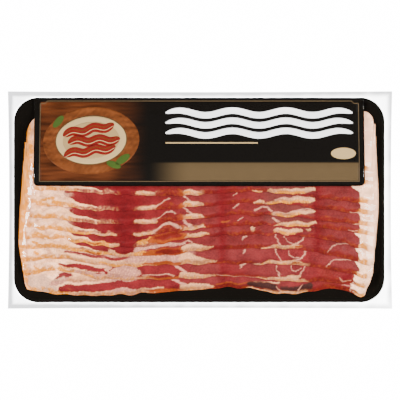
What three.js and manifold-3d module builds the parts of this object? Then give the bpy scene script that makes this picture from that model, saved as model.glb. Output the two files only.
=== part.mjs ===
// A flat vacuum pack of sliced bacon, lying on its back.
// Eleven long slices are shingled on a black card whose top edge folds over as a label flap.
// A clear film sheet with a sealed margin all round holds the lot.
// Millimetres, +Z up, +X along the slices, +Y towards the folded edge.
// The origin is on the surface the pack rests on, under the middle of the film.

import * as THREE from "three";
import { mergeVertices } from "three/addons/utils/BufferGeometryUtils.js";
import Module from "manifold-3d";

const wasm = await Module();
wasm.setup();

// Driving sizes

const FILM = { length: 280, width: 158.4, thickness: 0.3, sideBow: 1.0, endBow: 0.6 };
const CARD = { length: 270, width: 149.2, thickness: 0.6, cornerRadius: 17.5, centreX: -0.6 };
const FLAP = {
  width: 240,
  reach: 64.5,
  cornerRadius: 3.3,
  foldRadius: 0.9,
  foldTurn: [-90, 60],
  foldStep: 15,
  clearance: 0.1,
};
const SHEET_GAP = 0.1;

const SLICE = {
  length: 262,
  thickness: 3.9,
  centreX: -0.8,
  frontSlant: 3.2,
  noseSlant: 0.7,
  gap: 0.3,
  thinEnd: 0.2,
};

// Foot of each front edge, lowest slice first: y at each of these x.
// The hidden two run nearly straight.
const FRONT_X = [-128, -104, -73, -40, -7, 29, 62, 104, 121, 129];
const FRONT_EDGES = [
  [-65.4, -68.2, -69.6, -68.2, -65.6, -63.9, -68.6, -65.2, -70.4, -69.0],
  [-55.2, -51.6, -57.4, -58.1, -57.2, -55.6, -58.9, -60.3, -63.4, -63.8],
  [-45.4, -42.3, -47.5, -47.9, -46.7, -46.5, -46.9, -52.4, -56.8, -58.0],
  [-36.2, -34.6, -40.2, -40.6, -37.5, -35.5, -35.5, -42.0, -47.0, -48.6],
  [-28.0, -28.2, -33.2, -33.8, -27.4, -25.4, -25.6, -31.3, -36.2, -37.8],
  [-19.6, -22.2, -25.7, -25.5, -21.6, -18.6, -18.8, -22.3, -25.4, -26.6],
  [-12.0, -14.2, -17.3, -17.5, -14.0, -10.9, -11.9, -16.4, -18.5, -19.4],
  [-2.4, -4.8, -7.6, -7.3, -5.5, -2.4, -3.5, -8.4, -9.9, -10.4],
  [7.6, 6.8, 4.6, 2.8, 3.1, 5.8, 4.8, -0.8, -1.8, -2.2],
  [14.4, 14.2, 13.4, 12.8, 12.8, 13.4, 12.8, 12.2, 11.5, 11.2],
  [23.6, 23.4, 22.9, 22.5, 22.6, 22.9, 22.6, 22.0, 21.4, 21.0],
];
const SLICE_COUNT = FRONT_EDGES.length;

// The hidden back edges are even.
const BACK_PITCH = 9.04;
const FIRST_BACK_Y = -23.9;

// Slices of full length, and the growth of the trim below and above them in the stack.
const TRIM = {
  left: { fullFrom: 5, fullTo: 5, below: 0.33, above: 0.09 },
  right: { fullFrom: 8, fullTo: 9, below: 0.2, above: 0.5 },
};

const END_SLOPE = { left: 6.5, right: 4.5, reach: 26 };
const SHOULDER = { drop: 0.38, power: 10 };
const STATIONS = 56;
const END_CROWDING = 0.65;
const CURVE_STEPS = 200;
const ARC_STEPS = { film: 12, card: 8, flap: 5 };

// Heights of the flat layers

const CARD_BOTTOM = FILM.thickness + SHEET_GAP;
const CARD_TOP = CARD_BOTTOM + CARD.thickness;
const SLICE_FLOOR = CARD_TOP + 2 * SHEET_GAP;
const SLICES_DEEP = 5;
const STACK_HEIGHT = SLICES_DEEP * SLICE.thickness;

// Places of the slices

// A smooth curve through a few points, as y at x.
function curveThrough(xs, ys) {
  const curve = new THREE.SplineCurve(xs.map((x, i) => new THREE.Vector2(x, ys[i])));
  const points = curve.getPoints(CURVE_STEPS);
  return (x) => {
    const next = points.findIndex((p) => p.x >= x);
    if (next < 0) return points[points.length - 1].y;
    if (next === 0) return points[0].y;
    const [a, b] = [points[next - 1], points[next]];
    return THREE.MathUtils.mapLinear(x, a.x, b.x, a.y, b.y);
  };
}
const frontCurves = FRONT_EDGES.map((ys) => curveThrough(FRONT_X, ys));
const footAt = (slice, x) => frontCurves[slice - 1](x);
const foremost = (slice) => Math.min(...FRONT_EDGES[slice - 1]);

// How many slices have ended in front of y, as a fraction, and the y where that count reaches a value.
const slicesEnded = (y) => Math.max(0, 1 + (y - FIRST_BACK_Y) / BACK_PITCH);
const yWhereEnded = (count) => FIRST_BACK_Y + (count - 1) * BACK_PITCH;

// Each slice lies on the one in front of it and slopes down to the card behind.
const undersideZ = (slice, y) =>
  SLICE_FLOOR + SLICE.thickness * Math.max(0, slice - 1 - slicesEnded(y));
const topZ = (slice, y) => SLICE_FLOOR + SLICE.thickness * (slice - slicesEnded(y));

// How much shorter than a full-length slice one is at an end: it grows with the square of the steps away.
const trim = (end, slice) =>
  end.below * Math.max(0, end.fullFrom - slice) ** 2 +
  end.above * Math.max(0, slice - end.fullTo) ** 2;

// The whole stack's shoulders: its height falls near both ends, and its end walls lean inwards.
// A slice's top lies lower by the gap between slices.
function settle(x, y, z, gap = 0) {
  const along = (x - SLICE.centreX) / (SLICE.length / 2);
  const crown = 1 - SHOULDER.drop * Math.abs(along) ** SHOULDER.power;
  const height = (z - SLICE_FLOOR) * crown;
  const lean = along < 0 ? END_SLOPE.left : -END_SLOPE.right;
  const fromEnd = (1 - Math.abs(along)) * (SLICE.length / 2);
  const nearEnd = Math.max(0, 1 - fromEnd / END_SLOPE.reach);
  const shift = (lean * nearEnd * nearEnd * height) / STACK_HEIGHT;
  return [x + shift, y, SLICE_FLOOR + height - gap];
}

// The closed section of a slice at x: along its underside to the back, then over its top to the front.
// A slice that starts on the flat part of the stack bends where the slope begins.
function sliceSection(slice, x) {
  const low = footAt(slice, x);
  const high = low + SLICE.frontSlant;
  const bend = yWhereEnded(0);
  const startsFlat = foremost(slice) < bend;
  const bendAfter = (y) => (startsFlat ? [Math.max(bend, y + SLICE.gap)] : []);
  const landing = slice > 1 ? [yWhereEnded(slice - 1)] : [];
  const back = yWhereEnded(slice - SLICE.thinEnd);
  const bulge = (undersideZ(slice, low) + topZ(slice, high)) / 2;
  const under = [low, ...bendAfter(low), ...landing, back];
  const over = [back, ...bendAfter(high), high];
  return [
    ...under.map((y) => settle(x, y, undersideZ(slice, y))),
    ...over.map((y) => settle(x, y, topZ(slice, y), SLICE.gap)),
    settle(x, low + SLICE.noseSlant, bulge, SLICE.gap),
  ];
}

// A closed solid skinned over sections of equal point count.
// Every patch is split from its rear corner to its front one, so two faces that lie together match.
function skin(sections) {
  const count = sections[0].length;
  const position = sections.flat(2);
  const index = [];
  for (let s = 0; s + 1 < sections.length; s += 1) {
    for (let p = 0; p < count; p += 1) {
      const next = (p + 1) % count;
      const a = s * count + p;
      const b = s * count + next;
      const rearward = sections[s][next][1] > sections[s][p][1];
      if (rearward) index.push(a, b, a + count, b, b + count, a + count);
      else index.push(a, b, b + count, a, b + count, a + count);
    }
  }
  const last = (sections.length - 1) * count;
  const outline = sections[0].map(([, y, z]) => new THREE.Vector2(y, z));
  const lastOutline = sections[sections.length - 1].map(([, y, z]) => new THREE.Vector2(y, z));
  for (const [a, b, c] of THREE.ShapeUtils.triangulateShape(outline, [])) index.push(a, c, b);
  for (const [a, b, c] of THREE.ShapeUtils.triangulateShape(lastOutline, [])) {
    index.push(last + a, last + b, last + c);
  }
  const geometry = new THREE.BufferGeometry();
  geometry.setAttribute("position", new THREE.Float32BufferAttribute(position, 3));
  geometry.setIndex(index);
  geometry.computeVertexNormals();
  return geometry;
}

// Sections stand closer together towards the ends, where the shoulders fall.
function stationX(slice, i) {
  const left = SLICE.centreX - SLICE.length / 2 + trim(TRIM.left, slice);
  const right = SLICE.centreX + SLICE.length / 2 - trim(TRIM.right, slice);
  const u = (2 * i) / (STATIONS - 1) - 1;
  const crowded = THREE.MathUtils.lerp(u, Math.sin((u * Math.PI) / 2), END_CROWDING);
  return THREE.MathUtils.lerp(left, right, (crowded + 1) / 2);
}

function sliceGeometry(slice) {
  const sections = [];
  for (let i = 0; i < STATIONS; i += 1) sections.push(sliceSection(slice, stationX(slice, i)));
  return skin(sections);
}

// Flat outlines

function roundedRectangle(length, width, radius) {
  const [x, y] = [length / 2, width / 2];
  const shape = new THREE.Shape();
  shape.moveTo(-x + radius, -y);
  shape.lineTo(x - radius, -y);
  shape.absarc(x - radius, -y + radius, radius, -Math.PI / 2, 0);
  shape.absarc(x - radius, y - radius, radius, 0, Math.PI / 2);
  shape.absarc(-x + radius, y - radius, radius, Math.PI / 2, Math.PI);
  shape.absarc(-x + radius, -y + radius, radius, Math.PI, (3 * Math.PI) / 2);
  return shape;
}

// The film is cut square, and its long and short sides draw in a little between the corners.
function filmOutline() {
  const [x, y] = [FILM.length / 2, FILM.width / 2];
  const shape = new THREE.Shape();
  shape.moveTo(-x, -y);
  shape.quadraticCurveTo(0, -y + 2 * FILM.endBow, x, -y);
  shape.quadraticCurveTo(x - 2 * FILM.sideBow, 0, x, y);
  shape.quadraticCurveTo(0, y - 2 * FILM.endBow, -x, y);
  shape.quadraticCurveTo(-x + 2 * FILM.sideBow, 0, -x, -y);
  return shape;
}

const plate = (shape, thickness, curveSegments) =>
  new THREE.ExtrudeGeometry(shape, { depth: thickness, bevelEnabled: false, curveSegments });

// Solids that are joined or cut

function toSolid(geometry) {
  const bare = geometry.clone();
  bare.deleteAttribute("normal");
  bare.deleteAttribute("uv");
  const merged = mergeVertices(bare, 1e-4);
  return new wasm.Manifold(
    new wasm.Mesh({
      numProp: 3,
      vertProperties: merged.attributes.position.array,
      triVerts: new Uint32Array(merged.index.array),
    }),
  );
}

function toGeometry(solid) {
  const mesh = solid.getMesh();
  const geometry = new THREE.BufferGeometry();
  geometry.setAttribute("position", new THREE.Float32BufferAttribute(mesh.vertProperties, 3));
  geometry.setIndex(new THREE.Uint32BufferAttribute(mesh.triVerts, 1));
  geometry.computeVertexNormals();
  return geometry;
}

// The flap's line in the y-z plane: from the card's edge round the fold, up the back of the stack
// and along its crest.
function flapLine() {
  const edgeY = CARD.width / 2;
  const foldZ = CARD_BOTTOM + CARD.thickness / 2 + FLAP.foldRadius;
  const foldY = edgeY - FLAP.foldRadius - CARD.thickness / 2;
  const line = [[foldY - 2 * FLAP.foldRadius, foldZ - FLAP.foldRadius]];
  for (let degrees = FLAP.foldTurn[0]; degrees <= FLAP.foldTurn[1]; degrees += FLAP.foldStep) {
    const turn = THREE.MathUtils.degToRad(degrees);
    line.push([
      foldY + FLAP.foldRadius * Math.cos(turn),
      foldZ + FLAP.foldRadius * Math.sin(turn),
    ]);
  }
  const lift = FLAP.clearance + CARD.thickness / 2;
  const climb = [SLICE_COUNT - SLICE.thinEnd, SLICE_COUNT - 1].map((count) => {
    const y = yWhereEnded(count);
    return [y, topZ(SLICE_COUNT, y) + lift];
  });
  const crests = [SLICE_COUNT, SLICE_COUNT - 1].map((slice) => {
    const y = foremost(slice) + SLICE.frontSlant;
    return [y, topZ(slice, y) + lift];
  });
  const end = [edgeY - FLAP.reach, crests[crests.length - 1][1]];
  return [...line, ...climb, ...crests, end];
}

// A strip of even thickness on both sides of a line, as a closed shape.
function stripShape(line, thickness) {
  const sides = [[], []];
  line.forEach(([y, z], i) => {
    const before = line[Math.max(0, i - 1)];
    const after = line[Math.min(line.length - 1, i + 1)];
    const across = new THREE.Vector2(-(after[1] - before[1]), after[0] - before[0]).normalize();
    sides[0].push(new THREE.Vector2(y, z).addScaledVector(across, thickness / 2));
    sides[1].push(new THREE.Vector2(y, z).addScaledVector(across, -thickness / 2));
  });
  return new THREE.Shape([...sides[0], ...sides[1].toReversed()]);
}

// Card and flap are one folded piece.
// The flap is cut from the strip by a tall block with rounded lower corners.
function foldedCardGeometry() {
  const sheet = roundedRectangle(CARD.length, CARD.width, CARD.cornerRadius);
  const base = plate(sheet, CARD.thickness, ARC_STEPS.card);
  base.translate(CARD.centreX, 0, CARD_BOTTOM);

  const strip = plate(stripShape(flapLine(), CARD.thickness), FLAP.width, 1);
  strip.rotateX(Math.PI / 2);
  strip.rotateZ(Math.PI / 2);
  strip.translate(CARD.centreX - FLAP.width / 2, 0, 0);

  const tall = 2 * STACK_HEIGHT;
  const outline = roundedRectangle(FLAP.width, 2 * FLAP.reach, FLAP.cornerRadius);
  const block = plate(outline, tall, ARC_STEPS.flap);
  block.translate(CARD.centreX, CARD.width / 2, -STACK_HEIGHT / 2);

  const flap = toSolid(strip).intersect(toSolid(block));
  return toGeometry(toSolid(base).add(flap));
}

// The parts, each with its colour

const materials = {
  film: () => new THREE.MeshStandardMaterial({
    color: 0xe6e6e6, roughness: 0.15, metalness: 0, transparent: true, opacity: 0.45,
  }),
  card: () => new THREE.MeshStandardMaterial({ color: 0x14110f, roughness: 0.45, metalness: 0 }),
  bacon: () => new THREE.MeshStandardMaterial({ color: 0xb4443c, roughness: 0.35, metalness: 0 }),
};

function namedMesh(name, geometry, material) {
  const mesh = new THREE.Mesh(geometry, material);
  mesh.name = name;
  return mesh;
}

const pack = new THREE.Group();
const film = plate(filmOutline(), FILM.thickness, ARC_STEPS.film);
pack.add(namedMesh("sealed_film", film, materials.film()));
pack.add(namedMesh("folded_card", foldedCardGeometry(), materials.card()));
for (let slice = 1; slice <= SLICE_COUNT; slice += 1) {
  const name = `bacon_slice_${String(slice).padStart(2, "0")}`;
  pack.add(namedMesh(name, sliceGeometry(slice), materials.bacon()));
}

export default pack;
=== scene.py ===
"""A flat vacuum pack of sliced bacon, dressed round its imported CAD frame.

Formulas work in millimetres, and a mesh is turned into metres when it is made.
x runs along the slices, y towards the folded edge of the card, and z up.
"""

import math

import bpy
import numpy as np
from bpy.props import FloatProperty, FloatVectorProperty, PointerProperty
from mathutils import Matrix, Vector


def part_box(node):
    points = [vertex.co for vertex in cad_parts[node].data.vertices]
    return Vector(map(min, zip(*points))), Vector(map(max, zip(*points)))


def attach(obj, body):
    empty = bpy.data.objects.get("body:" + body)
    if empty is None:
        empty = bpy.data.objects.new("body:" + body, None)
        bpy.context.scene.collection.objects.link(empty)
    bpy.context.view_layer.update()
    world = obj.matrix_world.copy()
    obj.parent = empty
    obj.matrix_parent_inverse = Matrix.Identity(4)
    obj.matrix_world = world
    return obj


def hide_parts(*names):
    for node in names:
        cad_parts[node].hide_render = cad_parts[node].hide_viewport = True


bl_info = {
    "name": "Bacon Pack",
    "version": (1, 0, 0),
    "blender": (4, 5, 0),
    "location": "3D View > Sidebar > Bacon Pack",
    "description": "Slices, folded card, label print and film of a flat bacon pack",
    "category": "Mesh",
}

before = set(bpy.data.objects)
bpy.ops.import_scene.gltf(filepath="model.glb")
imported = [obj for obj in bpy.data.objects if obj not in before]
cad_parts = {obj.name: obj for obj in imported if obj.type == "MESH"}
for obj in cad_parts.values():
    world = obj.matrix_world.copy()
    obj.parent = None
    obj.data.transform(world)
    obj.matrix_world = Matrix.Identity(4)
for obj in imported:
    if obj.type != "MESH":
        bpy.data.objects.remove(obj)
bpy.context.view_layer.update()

MM = 0.001


# Sizes of the frame, in millimetres


def node_box(node):
    """Lowest and highest corner of a CAD node, in millimetres."""
    low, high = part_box(node)
    return np.array(low) / MM, np.array(high) / MM


FILM_LOW, FILM_HIGH = node_box("sealed_film")
CARD_LOW, CARD_HIGH = node_box("folded_card")

FILM_LENGTH, FILM_WIDTH, _ = FILM_HIGH - FILM_LOW
FILM_END_BOW = 1.0
FILM_SIDE_BOW = 0.6

CARD_THICKNESS = 0.6
CARD_CORNER = 17.5
CARD_BOTTOM = CARD_LOW[2]
CARD_TOP = CARD_BOTTOM + CARD_THICKNESS
CARD_CENTRE_X = (CARD_LOW[0] + CARD_HIGH[0]) / 2
CARD_LENGTH = CARD_HIGH[0] - CARD_LOW[0]
CARD_EDGE_Y = CARD_HIGH[1]

FLAP_HALF_WIDTH = 120.0
FLAP_REACH = 64.5
FLAP_CORNER = 3.3
FLAP_FOLD_RADIUS = 0.9
FLAP_CLEARANCE = 0.1
FLAP_END_Y = CARD_EDGE_Y - FLAP_REACH

SLICE_LENGTH = 262.0
SLICE_CENTRE_X = -0.8
SLICE_THICKNESS = 3.9
SLICE_GAP = 0.3
SLICE_THIN_END = 0.2
FRONT_SLANT = 3.2
SLICE_FLOOR = CARD_TOP + 0.2
STACK_HEIGHT = 5 * SLICE_THICKNESS
BACK_PITCH = 9.04
FIRST_BACK_Y = -23.9
BEND_Y = FIRST_BACK_Y - BACK_PITCH

# Foot of each front edge, lowest slice first: y at each of these x.
FRONT_X = np.array([-128, -104, -73, -40, -7, 29, 62, 104, 121, 129], float)
FRONT_EDGES = np.array([
    [-65.4, -68.2, -69.6, -68.2, -65.6, -63.9, -68.6, -65.2, -70.4, -69.0],
    [-55.2, -51.6, -57.4, -58.1, -57.2, -55.6, -58.9, -60.3, -63.4, -63.8],
    [-45.4, -42.3, -47.5, -47.9, -46.7, -46.5, -46.9, -52.4, -56.8, -58.0],
    [-36.2, -34.6, -40.2, -40.6, -37.5, -35.5, -35.5, -42.0, -47.0, -48.6],
    [-28.0, -28.2, -33.2, -33.8, -27.4, -25.4, -25.6, -31.3, -36.2, -37.8],
    [-19.6, -22.2, -25.7, -25.5, -21.6, -18.6, -18.8, -22.3, -25.4, -26.6],
    [-12.0, -14.2, -17.3, -17.5, -14.0, -10.9, -11.9, -16.4, -18.5, -19.4],
    [-2.4, -4.8, -7.6, -7.3, -5.5, -2.4, -3.5, -8.4, -9.9, -10.4],
    [7.6, 6.8, 4.6, 2.8, 3.1, 5.8, 4.8, -0.8, -1.8, -2.2],
    [14.4, 14.2, 13.4, 12.8, 12.8, 13.4, 12.8, 12.2, 11.5, 11.2],
    [23.6, 23.4, 22.9, 22.5, 22.6, 22.9, 22.6, 22.0, 21.4, 21.0],
])
SLICE_COUNT = len(FRONT_EDGES)
SHOWN_FRONTS = 9
FRONT_RAGGEDNESS = 0.55

SHOULDER_DROP = 0.38
SHOULDER_POWER = 10
END_LEAN_LEFT = 6.5
END_LEAN_RIGHT = 4.5
END_LEAN_REACH = 26.0
END_CORNER = 2.0
END_CORNER_LENGTH = 5.0
END_ROUNDING = 0.25
END_ROUNDING_POWER = 40
END_EDGE_RADIUS = 1.9
FRONT_REACH = 4.7
FRONT_STEP = 0.08
BACK_CORNER_LEFT = 22.0
BACK_CORNER_RIGHT = 9.0

# Of the ends of the slices: first and last of the widest slices, then the step in front and behind.
LEFT_STEPS = (5, 5, 0.12, 0.09)
RIGHT_STEPS = (8, 9, 0.1, 0.5)

# How far the ends of the stack stand out to the right of their straight line: y, left and right.
END_BOW = np.array([
    (-67, 3.7, -6.6), (-58, 1.6, -2.0), (-48, 0.2, -0.6), (-40, -1.1, -0.3), (-30, -1.95, 0.1),
    (-20, -0.9, 0.55), (-8, 0.1, 1.0), (4, 1.4, 0.8), (20, 2.3, -0.6), (42, 2.9, -2.0), (56, 0.8, -2.0),
])


# Settings that a user would change


def swatch(name, description, red, green, blue):
    """A colour property with its default given as 0 to 255."""
    return FloatVectorProperty(
        name=name,
        description=description,
        subtype="COLOR_GAMMA",
        size=3,
        min=0.0,
        max=1.0,
        default=(red / 255, green / 255, blue / 255),
    )


def length(name, description, millimetres):
    """A length property with its default given in millimetres."""
    return FloatProperty(
        name=name,
        description=description,
        unit="LENGTH",
        min=0.0,
        precision=5,
        default=millimetres * MM,
    )


class BaconPackColours(bpy.types.PropertyGroup):
    """Colours of the meat, the card, its print and the floor."""

    fat_pale: swatch("Pale fat", "Cut face of clean fat", 226, 160, 114)
    fat_clean: swatch("Clean fat", "White fat of the right end", 248, 188, 150)
    fat_rosy: swatch("Rosy fat", "Cut face of fat between lean", 156, 100, 84)
    fat_end: swatch("End fat", "Smoked outside of the left end", 204, 118, 18)
    # Cream fat is lifted a little in tone as painted light, to offset the shade that falls on the front
    # slopes.
    fat_cream: swatch("Cream fat", "Fat tongues on the front edges", 144, 90, 60)
    fat_tan: swatch("Tan fat", "Fat front edge dotted with pink", 112, 51, 44)
    fat_amber: swatch("Amber fat", "Smoked front edge of fat", 184, 108, 14)
    fat_honey: swatch("Honey fat", "Pale smoked edge of the right end", 192, 116, 34)
    fat_dull: swatch("Dull fat", "Fat of the lowest slice at the left", 174, 130, 104)
    vein: swatch("Vein", "Thin seams of white fat", 166, 108, 90)
    lean_red: swatch("Red lean", "Cut face of lean meat", 97, 21, 23)
    lean_rose: swatch("Rosy lean", "Paler lean meat", 94, 28, 28)
    lean_dusk: swatch("Dusky lean", "Purple lean meat", 90, 37, 34)
    lean_deep: swatch("Deep lean", "Dark red lean meat", 86, 11, 15)
    smoked_lean: swatch("Smoked lean", "Smoked front edge of lean", 93, 21, 16)
    smoked_orange: swatch("Orange edge", "Smoked edge between fat and lean", 128, 53, 12)
    smoked_core: swatch("Smoked core", "Lean inside an orange edge", 92, 20, 12)
    thin_lean: swatch("Thin lean", "Lean so thin that the card darkens it", 48, 23, 19)
    card: swatch("Card", "Coated dark board", 10, 8, 6)
    gold_line: swatch("Gold line", "Thin frame of the label", 76, 62, 44)
    white_ink: swatch("White ink", "Pale ornament of the label", 249, 249, 247)
    tan_ink: swatch("Tan ink", "Broad band of the label", 70, 56, 37)
    wood_ink: swatch("Wood ink", "Ground of the label's picture field", 62, 30, 13)
    board_ink: swatch("Board ink", "Serving board in the picture field", 84, 44, 20)
    cream_ink: swatch("Cream ink", "Plate and ribbon of the label", 160, 134, 92)
    plate_ink: swatch("Plate ink", "Well of the printed plate", 140, 114, 76)
    red_ink: swatch("Red ink", "Rashers in the picture field", 96, 22, 18)
    leaf_ink: swatch("Leaf ink", "Leaves in the picture field", 50, 66, 26)
    floor: swatch("Floor", "Ground under the pack as its film mirrors it", 90, 90, 90)


class BaconPackSizes(bpy.types.PropertyGroup):
    """Small sizes that the frame leaves open."""

    film_clearance: length("Film clearance", "Film above what it covers", 0.2)
    relief: length("Relief", "Unevenness of the slices where they show", 0.3)
    fat_swell: length("Fat swell", "How far fat stands above lean", 0.16)
    ink_lift: length("Ink lift", "Print above the card", 0.05)
    camera_height: length("Camera height", "Camera above the floor", 3240.0)
    camera_span: length("Camera span", "Width of floor in the picture", 291.4)
    backdrop: FloatProperty(
        name="Backdrop", description="Brightness of the floor and the room to the camera",
        min=0.0, default=16.0,
    )


class BaconPackSettings(bpy.types.PropertyGroup):
    """Everything that a user would change."""

    colours: PointerProperty(type=BaconPackColours)
    sizes: PointerProperty(type=BaconPackSizes)


def colours():
    """The colour settings."""
    return bpy.context.scene.bacon_pack.colours


def size_mm(name):
    """One small size, in millimetres."""
    return getattr(bpy.context.scene.bacon_pack.sizes, name) / MM


def linear(name):
    """A named colour as linear red, green and blue."""
    shade = np.array(getattr(colours(), name))
    return np.where(shade <= 0.04045, shade / 12.92, ((shade + 0.055) / 1.055) ** 2.4)


# Plain formulas

FULL_TURN = 6.283


def smooth_curve(xs, ys, x):
    """y at x on a cubic through the points, whose slope at each point comes from its neighbours."""
    slopes = np.gradient(ys, xs)
    i = np.clip(np.searchsorted(xs, x) - 1, 0, len(xs) - 2)
    span = xs[i + 1] - xs[i]
    t = np.clip((x - xs[i]) / span, 0, 1)
    start = (1 + 2 * t) * (1 - t) ** 2 * ys[i] + t * (1 - t) ** 2 * span * slopes[i]
    end = t * t * (3 - 2 * t) * ys[i + 1] + t * t * (t - 1) * span * slopes[i + 1]
    return start + end


def soft_step(value, width):
    """0 below -width, 1 above width, and a smooth rise between."""
    t = np.clip(value / (2 * width) + 0.5, 0, 1)
    return t * t * (3 - 2 * t)


def wobble(seed, x, y, wavelength, waves=7):
    """A smooth uneven field of about -1 to 1: a sum of sine waves in seeded directions."""
    rng = np.random.default_rng(seed)
    total = np.zeros(np.broadcast(x, y).shape)
    for angle, phase, stretch in rng.uniform((0, 0, 0.6), (FULL_TURN, FULL_TURN, 1.7), (waves, 3)):
        along = x * math.cos(angle) + y * math.sin(angle)
        total += np.sin(along * FULL_TURN * stretch / wavelength + phase)
    return total / math.sqrt(waves)


def stroke_distance(x, y, points):
    """Distance from (x, y) to the edge of a brush stroke: negative inside it.
    The stroke is a chain of (x, y, radius) points, and its radius changes evenly between them."""
    nearest = np.full(np.broadcast(x, y).shape, 1e6)
    for (ax, ay, ar), (bx, by, br) in zip(points[:-1], points[1:]):
        dx, dy = bx - ax, by - ay
        t = np.clip(((x - ax) * dx + (y - ay) * dy) / (dx * dx + dy * dy), 0, 1)
        gap = np.hypot(x - ax - t * dx, y - ay - t * dy) - (ar + t * (br - ar))
        nearest = np.minimum(nearest, gap)
    return nearest


# The stack of slices


def foot_y(slice_number, x):
    """y of the foot of a slice's front edge at x: a smooth curve, a little ragged where it shows."""
    curve = smooth_curve(FRONT_X, FRONT_EDGES[slice_number - 1], x)
    if slice_number > SHOWN_FRONTS:
        return curve
    return curve + FRONT_RAGGEDNESS * wobble(800 + slice_number, x, 0 * x, 14)


def slices_ended(y):
    """How many slices have ended in front of y, as a fraction."""
    return np.maximum(0, 1 + (y - FIRST_BACK_Y) / BACK_PITCH)


def y_where_ended(count):
    """y where that many slices have ended."""
    return FIRST_BACK_Y + (count - 1) * BACK_PITCH


def underside_z(slice_number, y):
    """Height of a slice's underside: it lies on the slice in front, then slopes to the card."""
    return SLICE_FLOOR + SLICE_THICKNESS * np.maximum(0, slice_number - 1 - slices_ended(y))


def top_z(slice_number, y):
    """Height of a slice's top before the shoulders lower it."""
    return SLICE_FLOOR + SLICE_THICKNESS * (slice_number - slices_ended(y))


def crown(x):
    """Share of its height that the stack keeps at x: 1 in the middle, less at its shoulders, and
    least at its rounded ends."""
    along = np.minimum(np.abs(x - SLICE_CENTRE_X) / (SLICE_LENGTH / 2), 1)
    return 1 - SHOULDER_DROP * along**SHOULDER_POWER - END_ROUNDING * along**END_ROUNDING_POWER


def nearness_to_end(x):
    """0 along the slices, and rising to 1 at their ends."""
    from_end = SLICE_LENGTH / 2 - np.abs(x - SLICE_CENTRE_X)
    return np.clip(1 - from_end / END_LEAN_REACH, 0, 1)


def end_bow(x, y):
    """How far a point is shifted along x because the ends of the stack aren't straight."""
    places, left, right = END_BOW.T
    shift = np.where(x < SLICE_CENTRE_X, smooth_curve(places, left, y), smooth_curve(places, right, y))
    return shift * nearness_to_end(x) ** 2


def settle(x, y, z):
    """x and z once the shoulders are lowered and the end walls lean inwards and are bowed.
    The lean grows with the square of the nearness to the end and with the height."""
    height = (z - SLICE_FLOOR) * crown(x)
    lean = np.where(x < SLICE_CENTRE_X, END_LEAN_LEFT, -END_LEAN_RIGHT)
    leant = x + lean * nearness_to_end(x) ** 2 * height / STACK_HEIGHT
    return leant + end_bow(x, y), SLICE_FLOOR + height


def corner_inset(v):
    """How far a slice's ends draw in at a distance behind the foot: its front corners are round."""
    return END_CORNER * np.clip(1 - v / END_CORNER_LENGTH, 0, 1) ** 2


def back_y(slice_number, x):
    """y of a slice's back end at x. The corners of the topmost slices are cut along two arcs."""
    left, right = slice_ends(SLICE_COUNT)
    corner = np.where(
        x < SLICE_CENTRE_X,
        rounded_reach(x - left, BACK_CORNER_LEFT),
        rounded_reach(right - x, BACK_CORNER_RIGHT),
    )
    outline = y_where_ended(SLICE_COUNT - SLICE_THIN_END) - corner
    own = y_where_ended(slice_number - SLICE_THIN_END)
    return np.minimum(own, outline - 0.3 * (SLICE_COUNT - slice_number))


def step_in(slice_number, first_widest, last_widest, front_step, back_step):
    """How far a slice's end steps in. It grows with the square of how many slices lie between it
    and the widest ones."""
    in_front = max(0, first_widest - slice_number)
    behind = max(0, slice_number - last_widest)
    return front_step * in_front**2 + back_step * behind**2


def slice_ends(slice_number):
    """Left and right x of a slice."""
    half = SLICE_LENGTH / 2
    left = SLICE_CENTRE_X - half + step_in(slice_number, *LEFT_STEPS)
    right = SLICE_CENTRE_X + half - step_in(slice_number, *RIGHT_STEPS)
    return left, right


# Colours across the slices: places are (x, v), where v is the distance behind the foot of the
# front edge, seen from above.

LEFT_FAT_EDGE_V = np.array([2.9, 3.6, 4.4, 5.4, 8.8])
LEFT_FAT_EDGE_X = np.array([-71.5, -78.7, -86.8, -91.9, -98.4])

# First and last slice, then the colours of the cut face along x.
FACES = (
    (6, 11, (
        (-99, "lean_red"), (-74, "lean_red"), (-62, "lean_deep"), (-46, "lean_deep"),
        (-39, "lean_red"), (-24, "lean_red"), (-8, "lean_rose"), (10, "lean_rose"),
        (16, "lean_deep"), (23, "lean_red"), (44, "lean_rose"), (50, "lean_dusk"),
        (80, "lean_dusk"), (84, "lean_deep"), (92, "lean_rose"), (116, "lean_rose"),
    )),
    (4, 5, (
        (-99, "lean_rose"), (-74, "lean_red"), (-62, "lean_deep"), (-46, "lean_deep"),
        (-39, "lean_red"), (-24, "lean_red"), (-8, "lean_rose"), (12, "lean_rose"),
        (16, "lean_deep"), (22, "lean_rose"), (80, "lean_rose"), (85, "lean_deep"),
        (94, "lean_rose"), (116, "lean_rose"),
    )),
    (3, 3, (
        (-90, "fat_pale"), (-58, "fat_rosy"), (-10, "fat_rosy"), (-2, "lean_rose"),
        (12, "lean_rose"), (16, "lean_deep"),
        (22, "lean_rose"), (40, "lean_rose"), (80, "lean_red"), (94, "lean_rose"),
    )),
    (1, 2, (
        (-84, "fat_pale"), (-62, "fat_rosy"), (-48, "fat_rosy"), (-44, "lean_red"),
        (-20, "lean_red"), (-4, "lean_rose"),
        (12, "lean_rose"), (16, "lean_deep"), (22, "lean_red"), (40, "lean_rose"),
        (62, "lean_rose"), (84, "lean_red"), (92, "smoked_lean"), (104, "lean_red"),
    )),
)

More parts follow.
